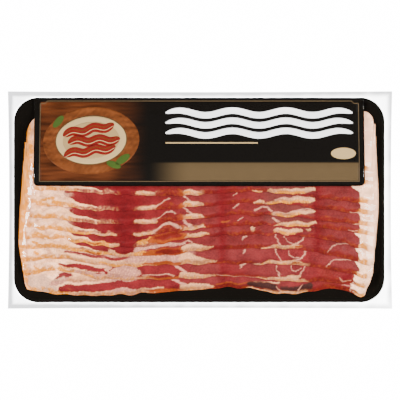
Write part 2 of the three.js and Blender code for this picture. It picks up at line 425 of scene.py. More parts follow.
# First and last slice, then the front edge along x: colour and how far behind the foot it reaches.
FRONT_BANDS = (
    (4, 11, (
        (-123, "fat_amber", 2.6), (-94, "fat_amber", 3.2), (-88, "fat_tan", 2.8),
        (-65, "fat_tan", 3.0), (-62, "lean_deep", 2.6), (-47, "lean_deep", 2.6),
        (-44, "fat_tan", 3.0), (-33, "fat_tan", 3.0), (-31, "smoked_lean", 4.6),
        (-27, "smoked_lean", 5.6), (-16, "smoked_lean", 5.4), (-13, "smoked_orange", 4.0),
        (-11, "fat_cream", 3.2), (0, "fat_cream", 2.6), (3, "smoked_lean", 2.8),
        (15, "lean_deep", 2.4), (24, "smoked_lean", 3.0), (45, "smoked_lean", 3.0),
        (49, "lean_red", 2.2), (81, "lean_red", 2.2), (84, "lean_deep", 3.0),
        (91, "smoked_lean", 3.4), (115, "smoked_lean", 3.2), (117, "fat_honey", 3.6),
        (122.5, "fat_honey", 4.4), (125, "fat_clean", 1.6),
    )),
    (1, 3, (
        (-121, "fat_amber", 2.4), (-98, "fat_amber", 2.8), (-92, "fat_cream", 2.2),
        (-50, "fat_cream", 2.0), (-38, "fat_cream", 1.8), (-33, "smoked_orange", 1.5),
        (-16, "smoked_orange", 1.5), (-12, "fat_cream", 2.6), (3, "fat_cream", 2.0),
        (8, "smoked_lean", 2.0), (45, "smoked_lean", 1.8), (52, "fat_cream", 2.2),
        (76, "fat_cream", 2.2), (80, "smoked_lean", 2.4), (113, "smoked_lean", 2.8),
        (116, "fat_honey", 2.6), (122, "fat_honey", 3.0), (125, "fat_clean", 1.6),
    )),
)

LEFT_FAT_X = -96
RIGHT_FAT_X = 117.0
END_BAND = 3.6
BLURRED_TONES = ("smoked_core", "thin_lean", "fat_dull")
BLURRED_EDGE = 1.0
SHARP_EDGE = 0.45

# How much pale grain the lean shows along x.
LEAN_GRAIN = ((-99, 0.25), (-60, 0.1), (-30, 0.2), (0, 0.5), (30, 0.4), (60, 0.5), (92, 0.8), (117, 0.9))

# How far the fat of the right end begins from RIGHT_FAT_X, on the slices that differ.
RIGHT_FAT_SHIFT = {1: -7.0, 2: -4.4, 3: -1.0, 4: -1.0}

# Seams and patches of each slice: colour, and a chain of (x, v, radius).
MARKS = {
    9: (
        ("fat_cream", (-45, 1.7, 1.2), (-38.9, 1.7, 1.6), (-33.5, 0.9, 1)),
        ("fat_cream", (-10.1, 2, 1.8), (-5.5, 1.8, 2.1), (-2.2, 1.8, 1.5), (0.2, 1.1, 0.5)),
        ("fat_amber", (-10.7, 1.9, 0.8), (-8.3, 2, 1)),
        ("fat_cream", (50.5, 0.9, 1.6), (61, 1.6, 1.8), (73.3, 3.6, 2), (82, 5.9, 1.4)),
        ("fat_amber", (54.8, 0.4, 0.7), (65.9, 1.3, 0.7), (75.8, 3.2, 0.7)),
        ("fat_cream", (39.4, 0.7, 0.6), (45, 0.2, 0.6)),
    ),
    8: (
        ("fat_amber", (-116.9, 3.5, 1.1), (-111.4, 5.9, 1), (-106.5, 6, 0.9), (-105.6, 2.8, 1),
            (-98.6, 2.4, 0.8)),
        ("fat_cream", (-43.2, 1.3, 1.1), (-37.1, 1.1, 1.5), (-31.6, 2.3, 0.8)),
        ("vein", (-32.9, 2.1, 0.42), (-29.2, 4.4, 0.35), (-25.6, 6, 0.28), (-21.9, 7, 0.48)),
        ("vein", (-13.4, 10.1, 0.42), (-9.8, 6.6, 0.7), (-5.8, 3.4, 0.56)),
        ("fat_cream", (-10.1, 2.2, 1.9), (-4.9, 2.2, 1.8), (-0.7, 1.8, 1.1), (1.7, 0.9, 0.5)),
        ("fat_amber", (-10.7, 1.9, 0.7), (-8, 1.9, 0.8)),
        ("vein", (24.2, 5.9, 0.21), (27.2, 7.5, 0.28)),
        ("fat_cream", (48.1, 0.4, 1.1), (57.9, 1.7, 1.8), (68.4, 3.6, 1.8), (78.3, 6, 2.1),
            (81.8, 6.4, 1.2)),
        ("fat_amber", (49.9, 0.1, 0.6), (61, 1.2, 0.8), (73.3, 3.4, 0.8), (79.5, 4.5, 0.6)),
        ("vein", (54.8, 3, 0.28), (67.2, 5.4, 0.28), (75.8, 7.9, 0.42), (79.5, 7.9, 0.48)),
        ("fat_cream", (40, 1.1, 0.8), (43.1, 2, 1), (45.9, 0.9, 0.6)),
        ("smoked_orange", (41.3, 0.4, 0.6), (44.4, 0.3, 0.6)),
        ("vein", (108.5, 0.9, 0.21), (112.2, -0.3, 0.28), (116.5, 0.7, 0.28)),
    ),
    7: (
        ("fat_amber", (-116.9, -0.7, 1.2), (-111.4, 0.9, 1.2), (-105.9, 1.5, 1.2)),
        ("fat_cream", (-46.2, 1.9, 1.2), (-38.9, 1.6, 1.6), (-31.6, 1, 1.2)),
        ("vein", (-32.2, 2.5, 0.48), (-28.6, 4.8, 0.35), (-25, 6.8, 0.48), (-21.3, 7.1, 0.83),
            (-17.1, 5.8, 0.35)),
        ("vein", (-13.4, 10.1, 0.35), (-9.2, 6.3, 0.7), (-5.5, 3.5, 0.7)),
        ("fat_cream", (-9.2, 1.7, 1.6), (-4.3, 1.9, 1.8), (-0.1, 2, 0.9), (3, 1.2, 0.4)),
        ("fat_amber", (-9.8, 1.5, 0.6), (-6.7, 1.4, 0.8)),
        ("vein", (24.2, 4.7, 0.28), (26.6, 5.8, 0.35), (28.5, 8.1, 0.28)),
        ("fat_cream", (53.3, 1, 1.1), (61, 1.1, 1.6), (70.9, 3.3, 1.6), (79.5, 5.2, 1.2), (83.2, 6, 0.6)),
        ("fat_amber", (56.1, 0.4, 0.6), (63.5, 0.6, 0.7), (73.3, 2.7, 0.6)),
        ("vein", (53.3, 2.4, 0.35), (62.2, 2.9, 0.28), (70.9, 4.7, 0.48), (78.3, 7.4, 0.42),
            (80.7, 6.3, 0.28)),
        ("vein", (40, 4.7, 0.63), (44.4, 6.3, 0.48), (48.7, 5.6, 0.48), (51.8, 2.9, 0.42)),
        ("vein", (106, -0.3, 0.21), (110.3, -0.5, 0.28), (115.9, 0.8, 0.28)),
    ),
    6: (
        ("fat_amber", (-120.5, 1.7, 1), (-113.8, 2.5, 1)),
        ("fat_amber", (-109.3, 2, 0.8), (-105.9, 1.3, 1), (-98.6, 0.6, 0.7)),
        ("fat_amber", (-93.8, 1, 0.7), (-86.5, 0.5, 1.1), (-78, 0.8, 1.2)),
        ("fat_cream", (-78, 0.6, 1.1), (-69.5, 0.5, 1.5), (-61.6, 0.4, 1.3)),
        ("fat_cream", (-47.1, 0.9, 1.1), (-41.3, 1, 1.3), (-34.7, 1.1, 1)),
        ("vein", (-35.3, 1.1, 0.56), (-30.4, 3.6, 0.56), (-26.2, 5.8, 0.91), (-21.9, 6.3, 1.26),
            (-17.1, 4.9, 1.11), (-13.7, 2.3, 0.48)),
        ("vein", (-12.2, 7.9, 0.42), (-8.6, 4.1, 0.77), (-4.9, 1.3, 0.7)),
        ("fat_cream", (-9.2, 0.2, 1.2), (-3.7, 0, 1.7), (1.1, 0.3, 1.5), (4.5, -1, 0.6)),
        ("vein", (26.6, 3.7, 0.28), (29.1, 4.9, 0.35), (31, 6.2, 0.28)),
        ("smoked_orange", (16.3, 3.2, 0.5), (20.6, 4.1, 0.5)),
        ("fat_cream", (53.9, -0.8, 1.2), (62.2, 1, 2), (70.9, 1.7, 2.1), (77, 1.6, 1.2), (83.8, 3.7, 0.6)),
        ("fat_amber", (62.2, 0.1, 0.9), (70.9, 0.3, 0.7), (78.9, 1, 0.6)),
        ("vein", (53, 5.7, 0.48), (55.5, 3.7, 0.83), (57.9, 3, 0.42)),
        ("vein", (107.8, 0.9, 0.21), (112.2, 1.1, 0.28), (115.2, 1.9, 0.28)),
    ),
    5: (
        ("fat_amber", (-121.1, 4, 0.8), (-114.4, 2.5, 0.8), (-110.2, 1.1, 0.8), (-105.9, 0.9, 0.8),
            (-102.3, 1.9, 0.6)),
        ("fat_amber", (-96.2, 1.5, 0.7), (-90.2, 0.8, 1.2), (-82.3, 0.9, 1.7), (-71.9, 1.4, 1.7),
            (-65.3, 1.6, 1.5)),
        ("fat_cream", (-64.7, 1.5, 1.2), (-58.9, 1.2, 1.2)),
        ("smoked_orange", (-81, 1.1, 0.6), (-73.2, 1.5, 0.7)),
        ("fat_amber", (-43.9, 2.9, 1.2), (-40.1, 3.9, 1.8), (-35.9, 4.6, 1.8)),
        ("smoked_orange", (-36.5, 3.7, 1.6), (-30.4, 3.9, 3.2), (-20.7, 3.9, 3.7), (-12.2, 2, 2.4)),
        ("smoked_core", (-32, 4.9, 1.2), (-25, 4.8, 2.4), (-17.1, 3.9, 2.3), (-13.6, 3, 1.2)),
        ("fat_cream", (-8.6, 0.9, 1.2), (-2.5, 1.4, 1.7), (2.4, 1.6, 1.5), (6.3, 1.4, 0.4)),
        ("fat_cream", (37.9, 5.1, 0.9), (38.9, 3, 1)),
        ("fat_cream", (54.8, 2.4, 1.4), (59.8, 2.4, 2), (65.9, 3.1, 2), (72.1, 4.1, 1.5)),
        ("fat_amber", (58.5, 1.6, 0.7), (68.4, 2.4, 0.7)),
        ("fat_cream", (78.3, 5.2, 0.8), (79.6, 5.6, 0.7)),
        ("smoked_orange", (90, 0.7, 0.3), (95.5, -1.3, 0.4), (100.4, -1.4, 0.4)),
    ),
    4: (
        ("fat_amber", (-121.1, 4.8, 1.2), (-115, 2, 1), (-109.6, 1.4, 1), (-106.5, 1.3, 0.9),
            (-102.3, 2.1, 1), (-96.2, 0.7, 0.8)),
        ("fat_amber", (-96.2, 0.9, 1), (-90.2, 0.9, 1.3), (-82.3, 0.4, 1.7), (-73.2, 0.7, 1.6),
            (-65.9, 0.5, 1.1)),
        ("smoked_orange", (-81.7, 0.7, 0.7), (-73.5, 0.8, 0.8)),
        ("fat_cream", (-65.3, 2.8, 1.7), (-59.8, 1.1, 1.7), (-53.7, 0.4, 1.5), (-46.4, 1.3, 1.8)),
        ("lean_deep", (-54.5, 9, 7.4), (-54.5, 6.6, 4.9)),
        ("fat_amber", (-45.6, 1.6, 1.5), (-41, 2.2, 1.8)),
        ("fat_rosy", (-46.8, 4.7, 1.6), (-38.9, 6.3, 1.6), (-26.8, 6.9, 1.3), (-17.1, 7.1, 1.2),
            (-11, 7, 0.7)),
        ("smoked_orange", (-40.4, 1.2, 1.2), (-35.3, 1.8, 2.2), (-23.7, 1.2, 3.2), (-11.6, 1.8, 2.1)),
        ("smoked_core", (-31, 2, 1.2), (-23.7, 1.6, 2.2), (-15.5, 2, 1.8)),
        ("vein", (-12.8, 7.9, 0.35), (-9.2, 8.4, 0.35), (-6.1, 6.6, 0.42)),
        ("fat_cream", (-11, 3.2, 2.2), (-6.1, 3.2, 2.4), (0.5, 2.7, 2.1), (5.4, 2, 1.1), (9.6, 1.9, 0.5)),
        ("vein", (30.6, 6.5, 0.35), (31.4, 8.4, 0.83), (33.6, 9.1, 0.42)),
        ("vein", (54.8, 9.7, 0.35), (55.9, 6.2, 0.35), (58.2, 3.3, 0.35)),
        ("vein", (75.9, 11.5, 0.35), (74.6, 8.1, 0.42), (70.9, 4.6, 0.48), (66.5, 3, 0.42)),
        ("vein", (61.7, 9.6, 0.28), (63, 6.4, 0.28), (66.2, 4.2, 0.28)),
        ("fat_cream", (53.3, 1, 1.2), (61, 1.3, 1.4), (68.4, 1.9, 1.2), (73.3, 2.9, 0.7)),
        ("fat_cream", (44.4, 0.4, 0.5), (51.8, 0.6, 0.6)),
        ("smoked_orange", (69.6, 2, 0.7), (73.9, 3.1, 0.7)),
        ("vein", (93.1, 1.9, 0.21), (95.2, 6.4, 0.28), (100.4, 9.3, 0.28), (106, 10.8, 0.28),
            (110.3, 11.4, 0.28)),
    ),
    3: (
        ("fat_amber", (-121.1, 6.8, 1), (-118.1, 4.5, 1)),
        ("fat_amber", (-113.2, 1.3, 0.8), (-108.4, -0.3, 0.9), (-105.3, -0.2, 0.5)),
        ("fat_cream", (-98.6, -0.2, 0.7), (-90.2, 0.4, 1.7), (-78, 2.2, 1.9), (-65.9, 2.4, 1.8),
            (-53.7, 2.2, 2.1), (-41.6, 2.7, 2.1)),
        ("fat_amber", (-71.9, 1.7, 0.7), (-59.8, 0.7, 0.8), (-50.7, -0.2, 0.7), (-41.6, 0.5, 0.7)),
        ("fat_tan", (-98.6, 5.2, 0.7), (-86.5, 6.1, 1.2), (-71.9, 6.1, 1.3), (-47.7, 5.4, 1)),
        ("lean_rose", (-91, 6, 0.5), (-86.5, 6.2, 0.8), (-79.8, 5.7, 0.7), (-71.9, 6.1, 0.8)),
        ("lean_red", (-68, 5.9, 0.6), (-59, 5.2, 1), (-50, 5.3, 0.5)),
        ("lean_red", (-102.9, 0.7, 0.7), (-100.2, 0.4, 0.7)),
        ("fat_rosy", (-53.5, 3.8, 1.6), (-47.4, 4.9, 1.7), (-35.9, 5, 1.6), (-23.7, 4.5, 1.5),
            (-12.2, 4.6, 1.8)),
        ("smoked_orange", (-37, 8.9, 0.7), (-31, 8.4, 1.2), (-24, 8.2, 1.6), (-15, 8.8, 1.2)),
        ("smoked_core", (-30, 8.4, 0.5), (-24, 8, 0.9), (-16, 8.5, 0.6)),
        ("smoked_orange", (-40.7, 1.1, 0.5), (-32.9, 1.7, 0.8), (-23.7, 1.8, 0.9), (-14.6, 1.7, 1)),
        ("fat_cream", (-12.2, 4.9, 3.4), (-7.4, 4.4, 3.5), (-1.3, 3.5, 2.8), (3.6, 2.2, 1.6),
            (11.5, 1.8, 0.5)),
        ("vein", (30.9, 7.3, 0.35), (31.6, 8.8, 0.77), (32.7, 9.9, 0.42)),
        ("vein", (35.7, -0.9, 0.14), (40, 0.9, 0.21), (43.6, 1.5, 0.21)),
        ("vein", (55, 10.6, 0.35), (56.1, 6.6, 0.42), (59.5, 2.8, 0.42)),
        ("vein", (77.1, 12.2, 0.42), (76.1, 8.4, 0.48), (72.7, 5.3, 0.56), (68.4, 3.1, 0.48)),
        ("vein", (64.2, 10.2, 0.28), (65, 6.8, 0.28), (68.4, 4.9, 0.28), (71.5, 5.9, 0.21)),
        ("fat_cream", (40, 0.5, 0.6), (48.7, 1.1, 0.8), (57.9, 1.3, 1.1), (67.2, 2, 1.2), (73.3, 2.5, 0.7)),
        ("smoked_orange", (67.2, 1.2, 0.5), (72.7, 2.2, 0.6)),
        ("vein", (92.1, 1.8, 0.21), (94.3, 5.6, 0.28), (98.6, 8.3, 0.28), (104.1, 9.5, 0.28),
            (110.3, 9.9, 0.28)),
    ),
    2: (
        ("fat_amber", (-121.1, 6, 0.8), (-118.1, 2.8, 0.8), (-112, 0.2, 1), (-109.6, 0, 0.5)),
        ("fat_amber", (-103.5, 2.1, 0.7), (-98.6, 1.2, 1.1), (-95, 0.6, 0.6)),
        ("lean_red", (-101.6, 5.1, 0.8), (-95, 5, 1.5), (-86.5, 5.4, 1.9), (-78, 7, 1.9), (-70.1, 6.3, 1.6),
            (-68, 4.1, 1)),
        ("fat_rosy", (-90.2, 1, 1), (-81, 2.5, 1.3), (-71.3, 3.8, 1.2)),
        ("lean_rose", (-83.5, 3.6, 0.4), (-80.4, 4.8, 0.3), (-76.2, 4.5, 0.4), (-71.6, 4.5, 0.3)),
        ("fat_rosy", (-64.1, 3.1, 2.4), (-58, 4.9, 3.6), (-51.3, 5.5, 3.9), (-45.8, 5.1, 2.8)),
        ("lean_red", (-65.4, 5.9, 0.5), (-62.8, 8.5, 0.7), (-58.9, 9.4, 0.6)),
        ("fat_amber", (-85.3, -0.1, 0.6), (-78, 1.2, 0.6)),
        ("lean_red", (-44.1, 8.3, 1.7), (-35.9, 8.4, 2.5), (-26.8, 8.3, 2.8), (-17.1, 6.8, 2.7)),
        ("vein", (-42, 3, 0.42), (-35.3, 3.1, 0.35), (-29.8, 3.9, 0.35), (-24.4, 4.1, 0.42),
            (-18.9, 2.1, 0.48)),
        ("smoked_orange", (-38.9, 1, 0.4), (-20.7, 1.1, 0.5)),
        ("vein", (-18.9, 10.2, 0.42), (-14.6, 7.4, 0.83), (-10.4, 4.5, 1.05)),
        ("fat_cream", (-14, 2.5, 1.7), (-7.4, 2.5, 2.2), (-1.3, 2, 1.7), (3.6, 1.2, 1.1), (10.2, 0.9, 0.7)),
        ("vein", (29.7, 6.4, 0.35), (30, 7.6, 0.77), (33, 9, 0.35)),
        ("vein", (12.1, 1.7, 0.14), (20.6, 0.6, 0.14), (30.9, -0.2, 0.14), (43, 0.6, 0.14)),
        ("vein", (55.5, 10.8, 0.35), (55.5, 7.5, 0.35), (58.2, 3.8, 0.35)),
        ("vein", (76.4, 12.4, 0.35), (75.3, 8.5, 0.42), (71.8, 4.8, 0.48)),
        ("vein", (66.1, 11.3, 0.28), (66.9, 8.1, 0.28), (69.6, 7.5, 0.28), (73.3, 9.9, 0.21)),
        ("fat_cream", (42.2, -0.1, 0.9), (51.8, 0.5, 1.1), (59.8, 0.9, 2.1), (69.6, 2.5, 2.1),
            (71.6, 3.7, 1.1)),
        ("lean_deep", (104.8, 4.7, 1.5), (108.8, 5.2, 1.6)),
        ("vein", (101.6, 4.1, 0.21), (104.5, 1.4, 0.28), (110.3, 2.3, 0.21)),
    ),
    1: (
        ("fat_cream", (-98.6, 10.6, 1.7), (-90.2, 11.6, 2.3), (-80.4, 12.6, 2.3), (-69.5, 12.5, 1.7)),
        ("fat_dull", (-126, 4.5, 5.5), (-114, 6.5, 6.5), (-107, 4, 3.5)),
        ("fat_rosy", (-109.5, 6.6, 0.6), (-104.5, 9, 2.8), (-99.5, 12, 3.4), (-95, 14.4, 2)),
        ("lean_rose", (-107, 9.2, 0.4), (-103.5, 11.6, 1.8), (-98.6, 14, 2.4), (-93.6, 14.6, 1)),
        ("fat_dull", (-107, 9.8, 0.6), (-99, 12.2, 0.9)),
        ("lean_red", (-101.1, 3.6, 2.3), (-95, 4.8, 2.8), (-84.1, 5.2, 2.7), (-71.9, 6.3, 3.2),
            (-59.8, 7.2, 2.8), (-47.7, 6.9, 2.9), (-37.9, 6.1, 3)),
        ("fat_rosy", (-58, 3.6, 1.1), (-52.5, 4.1, 1.5), (-47.7, 2.8, 1)),
        ("lean_red", (-51.1, 7.8, 2.7), (-38.9, 7.4, 2.8), (-26.8, 6.8, 2.7), (-14.6, 3.8, 2.3)),
        ("vein", (-21.3, 10.2, 0.42), (-15.2, 6.4, 0.77), (-9.8, 3.8, 0.83)),
        ("fat_cream", (-12.2, 2.4, 2.1), (-4.9, 2.7, 2.4), (2.4, 2.5, 1.8), (9.6, 1.6, 0.8)),
        ("smoked_orange", (-35.9, 1.5, 0.7), (-26.8, 2.2, 0.8), (-18.3, 1.1, 0.9)),
        ("fat_cream", (-51.1, 2.5, 0.8), (-43.8, 2.2, 0.9), (-35.9, 3.2, 0.5), (-26.8, 3.7, 0.4)),
        ("smoked_orange", (12.1, 3.1, 0.4), (24.8, 3.2, 0.4), (37.6, 4.4, 0.4)),
        ("fat_cream", (38.8, 5, 0.4), (51.8, 7.4, 0.6), (57.3, 8.2, 0.6)),
        ("thin_lean", (36, 2.8, 1.6), (45, 4.2, 2.4), (54, 4.6, 2.6)),
        ("thin_lean", (60, 3.6, 1.4), (70, 3.8, 1.8), (80, 4.2, 2.4)),
        ("fat_cream", (34, 0.1, 0.5), (52, 0.2, 0.7), (78, 0.2, 0.5)),
        ("vein", (55.6, 5.3, 0.28), (57.9, 2.1, 0.35), (61, 1.1, 0.35)),
        ("vein", (73.9, 5.4, 0.28), (71.8, 2.5, 0.35)),
        ("fat_cream", (58.5, 0.5, 1), (64.1, 0.7, 1.2), (70.2, 0.7, 0.9)),
        ("vein", (102.9, 3.5, 0.14), (109.1, 4.4, 0.21)),
    ),
}


def profile_colour(profile, x):
    """Colour at x of a profile of (x, colour, ...)."""
    places = [row[0] for row in profile]
    shades = np.array([linear(row[1]) for row in profile])
    return np.stack([np.interp(x, places, shade) for shade in shades.T], axis=-1)


def profile_of(number, profiles):
    """The profile that holds for a slice."""
    return next(rows for first, last, rows in profiles if first <= number <= last)


def lay_over(under, name, mask):
    """The named colour laid over another where the mask is 1."""
    return under + (linear(name) - under) * mask[..., None]


def speckle(seed, x, y, wavelength, threshold):
    """Scattered small spots: 1 inside them."""
    return soft_step(wobble(seed, x, y, wavelength, 9) - threshold, 0.25)


def shifted_places(number, x, v):
    """x and v moved a little by uneven fields, so that every border wanders on each slice."""
    seed = 100 * number
    x = x + 0.5 * wobble(seed + 1, x, 2 * v, 11) + 0.25 * wobble(seed + 2, x, 2 * v, 3)
    return x, v + 0.2 * wobble(seed + 3, x, v, 8) + 0.12 * wobble(seed + 4, x, v, 2.2)


def face_colour(number, x, v):
    """Cut face of a slice: lean that changes along x, with fat at both ends laid over it."""
    seed = 100 * number
    colour = profile_colour(profile_of(number, FACES), x)
    grain = np.interp(x, *zip(*LEAN_GRAIN)) * speckle(seed + 5, x, v, 1.7, 0.5)
    colour = lay_over(colour, "fat_tan", 0.3 * grain)
    if number > 3:
        left_fat = np.interp(v, LEFT_FAT_EDGE_V, LEFT_FAT_EDGE_X) - x
        colour = lay_over(colour, "fat_pale", soft_step(left_fat, 0.5))
    far_left = soft_step(LEFT_FAT_X - x, 6)
    colour = lay_over(colour, "fat_rosy", 0.4 * far_left * speckle(seed + 11, x, 1.6 * v, 10, 0.2))
    colour = lay_over(colour, "fat_clean", 0.6 * far_left * speckle(seed + 12, x, 1.6 * v, 8, 0.0))
    right_fat = x - RIGHT_FAT_X - RIGHT_FAT_SHIFT.get(number, 0.0) + 0.12 * (v - 4.5) ** 2
    return lay_over(colour, "fat_clean", soft_step(right_fat, 0.5))


def lay_front_band(number, x, v, colour):
    """Lays the band of the front edge over the face. Its tan parts are dashed with pale strokes,
    its lean parts are smoky, and at the left end it is broken."""
    seed = 100 * number
    rows = profile_of(number, FRONT_BANDS)
    reach = np.interp(x, [row[0] for row in rows], [row[2] for row in rows])
    reach = reach * (1 + 0.22 * wobble(seed + 13, x, 0 * v, 7))
    band = soft_step(reach - v, 0.6)
    at_left = soft_step(-94 - x, 4)
    broken = speckle(seed + 6, x, 0.5 * v, 6, -0.2)
    front = profile_colour(rows, x)
    dashes = soft_step(wobble(seed + 7, x, 0.35 * v, 1.9), 0.8)
    dotted = soft_step(x + 92, 4) * soft_step(-60 - x, 3) + soft_step(x + 47, 3) * soft_step(-31 - x, 2)
    front = lay_over(front, "fat_cream", 0.8 * dashes * np.clip(dotted, 0, 1))
    lean_front = soft_step(front[..., 1] - 0.0055, 0.001) * soft_step(0.1 - front[..., 1], 0.05)
    front = lay_over(front, "smoked_orange", 0.35 * lean_front * speckle(seed + 8, x, v, 4, 0.4))
    thinned = 0.7 + 0.3 * speckle(seed + 14, x, v, 4, -0.6)
    share = band * (1 - 0.8 * at_left * (1 - broken)) * thinned
    return colour + (front - colour) * share[..., None]


def lay_marks(number, x, v, colour):
    """Lays the slice's seams and patches over its colour, with frayed edges. Cream patches are paler
    towards the face, a painted highlight on their crest."""
    seed = 100 * number
    frayed = 0.2 * wobble(seed + 15, x, v, 2.4) + 0.12 * wobble(seed + 16, 1.6 * x, v, 1.3)
    for tone, *points in MARKS.get(number, ()):
        distance = stroke_distance(x, v, points) + frayed * (0.3 if tone == "vein" else 1)
        mask = soft_step(-distance, BLURRED_EDGE if tone in BLURRED_TONES else SHARP_EDGE)
        colour = lay_over(colour, tone, mask)
        # Each cream patch turns paler towards its back: a painted highlight on its crest.
        if tone == "fat_cream":
            middle = sum(point[1] for point in points) / len(points)
            colour = lay_over(colour, "fat_pale", 0.45 * mask * soft_step(v - middle, 0.9))
    return colour


def lay_smoke_and_highlights(number, x, v, colour):
    """Stains the fat amber near the front edge and at the left end, whose outside is smoked, and scatters
    pale speckles over the fat as painted highlights.
    """
    seed = 100 * number
    fat = soft_step(colour[..., 1] - 0.09, 0.04)
    amber = speckle(seed + 9, x, v, 5, 0.1) * soft_step(2.6 - v, 1.8) * soft_step(112 - x, 6)
    colour = lay_over(colour, "fat_amber", 0.6 * fat * amber)
    far_left = soft_step(LEFT_FAT_X - x, 6)
    stain = far_left * speckle(seed + 19, x, 1.5 * v, 9, 0.15) * soft_step(3.9 - v, 1.2)
    colour = lay_over(colour, "fat_amber", 0.85 * stain)
    # Pale speckles over the fat are painted highlights.
    colour = lay_over(colour, "fat_pale", 0.3 * fat * speckle(seed + 10, x, v, 2.8, 0.4))
    left, _ = slice_ends(number)
    y = v + foot_y(number, x)
    ragged = left + END_BAND + 0.9 * wobble(17, 0 * x, y, 13) - x
    colour = lay_over(colour, "fat_end", soft_step(ragged, 1.3))
    streak = soft_step(0.8 - np.abs(ragged + 1.2 - 0.8 * wobble(18, 0 * x, y, 21)), 0.6)
    colour = lay_over(colour, "smoked_orange", 0.35 * streak)
    fringe = speckle(seed + 20, x, 2 * v, 9, 0.2) * soft_step(ragged, 1.3)
    return lay_over(colour, "fat_pale", 0.5 * fringe)


def meat_colour(number, x, v):
    """Colour of a slice at (x, v): the face, then the front band, the marks, and the smoke with its painted
    highlights.
    """
    x, v = shifted_places(number, x, v)
    colour = face_colour(number, x, v)
    for lay in (lay_front_band, lay_marks, lay_smoke_and_highlights):
        colour = lay(number, x, v, colour)
    return colour


SLICE_STATIONS = 620
ROUND_STEPS = 14
SHOWN_STEPS = 26
HIDDEN_STEPS = 6

LAST_SHOWN = 24
LEAST_SHOWN = 5.0
SHOWN_PAST_NEXT = 1.4
RELIEF_FADE = 1.2
END_SHARE = 0.3


def front_rise(v):
    """Share of the thickness that a front edge has reached at v: a low step, then an S curve."""
    t = np.clip(v / FRONT_REACH, 0, 1)
    return FRONT_STEP + (1 - FRONT_STEP) * np.sin(t**0.8 * math.pi / 2) ** 2


def relief_z(number, x, v):
    """Low swells and dents of a slice's top at (x, v)."""
    swells = wobble(600 + number, x, 1.5 * v, 26)
    dents = wobble(700 + number, x, v, 7)
    return size_mm("relief") * (0.7 * swells + 0.3 * dents)


def slice_points(number):
    """Rings round a slice at stations along x, and the colour at each point.
    Each ring climbs the soft front edge, runs back along the top with a low relief where the
    slice shows, and comes home along the underside.
    The rings shrink to a round edge at both ends, where END_SHARE of the thickness is left."""
    left, right = slice_ends(number)
    u = np.linspace(-1, 1, SLICE_STATIONS)
    crowded = 0.75 * u + 0.25 * np.sin(u * math.pi / 2)
    x = (left + (right - left) * (crowded + 1) / 2)[:, None]
    foot = foot_y(number, x)
    from_end = np.minimum(x - left, right - x)
    back = back_y(number, x)
    following = foot_y(number + 1, x) if number < SLICE_COUNT else foot + LAST_SHOWN
    shown = np.clip(following - foot, LEAST_SHOWN, back - foot - 3) + SHOWN_PAST_NEXT

    round_v = FRONT_REACH * np.linspace(0, 1, ROUND_STEPS)[None, :] + 0 * x
    shown_v = FRONT_REACH + (shown - FRONT_REACH) * np.linspace(0, 1, SHOWN_STEPS + 1)[None, 1:]
    hidden_v = shown + (back - foot - shown) * np.linspace(0, 1, HIDDEN_STEPS + 1)[None, 1:]
    v = np.hstack([round_v, shown_v, hidden_v])
    y = foot + v
    x_top = x + 0 * y
    colour = meat_colour(number, x_top, v)
    fatness = soft_step(colour[..., 1] - 0.22, 0.12)

    low_z = underside_z(number, foot)
    rise = front_rise(v)
    flat_z = top_z(number, y)
    z = low_z + (flat_z - low_z) * rise
    x_top, z = settle(x_top, y, z)
    inwards = -np.sign(x - SLICE_CENTRE_X) * nearness_to_end(x) ** 4
    x_top = x_top + inwards * corner_inset(v)
    exposed = soft_step(shown - RELIEF_FADE - v, 1.0)
    relief = relief_z(number, x, v)
    swell = size_mm("fat_swell") * (fatness - 0.5)
    z = z - SLICE_GAP * rise + exposed * rise * (relief + swell)

    bend = np.maximum(BEND_Y, foot + 0.8)
    landing = np.minimum(max(y_where_ended(number - 1), BEND_Y + 1), back - 0.5)
    under_y = np.hstack([back, landing, bend, foot + 0.5])
    under_x, under_z = settle(x + 0 * under_y, under_y, underside_z(number, under_y))
    under_v = under_y - foot
    under_x = under_x + inwards * corner_inset(under_v)

    ring_x = np.hstack([x_top, under_x])
    ring_y = np.hstack([y, under_y])
    ring_z = np.hstack([z, under_z])
    ring_colour = np.concatenate([colour, meat_colour(number, x + 0 * under_v, under_v)], axis=1)

    roundness = np.sqrt(1 - np.clip(1 - from_end / END_EDGE_RADIUS, 0, 1) ** 2)
    keep = END_SHARE + (1 - END_SHARE) * roundness
    middle = (ring_z + np.minimum(ring_z, underside_z(number, ring_y))) / 2
    ring_z = middle + (ring_z - middle) * keep
    points = np.stack([ring_x, ring_y, ring_z], axis=-1)
    return points, ring_colour


# Meshes from arrays


def grid_faces(rows, columns, wrap=False):
    """Quads of a grid of points numbered row by row. With wrap, the last column joins the first."""
    last = columns if wrap else columns - 1
    row, column = np.meshgrid(np.arange(rows - 1), np.arange(last), indexing="ij")
    following = (column + 1) % columns
    here = row * columns
    return np.stack(
        [here + column, here + columns + column, here + columns + following, here + following],
        axis=-1,
    ).reshape(-1, 4)


def mesh_object(name, points, quads, caps=()):
    """A smooth mesh object at the origin from points in millimetres, quads and larger faces."""
    mesh = bpy.data.meshes.new(name)
    faces = [tuple(face) for face in quads.tolist()] + [tuple(cap) for cap in caps]
    mesh.from_pydata((points.reshape(-1, 3) * MM).tolist(), [], faces)
    mesh.validate()
    mesh.shade_smooth()
    piece = bpy.data.objects.new(name, mesh)
    bpy.context.scene.collection.objects.link(piece)
    return piece


def loft(name, rings):
    """A closed skin over rings of equal point count, with a flat face at each end."""
    count, size, _ = rings.shape
    quads = grid_faces(count, size, wrap=True)
    first = list(range(size))
    last = list(range((count - 1) * size, count * size))[::-1]
    return mesh_object(name, rings, quads, (first, last))


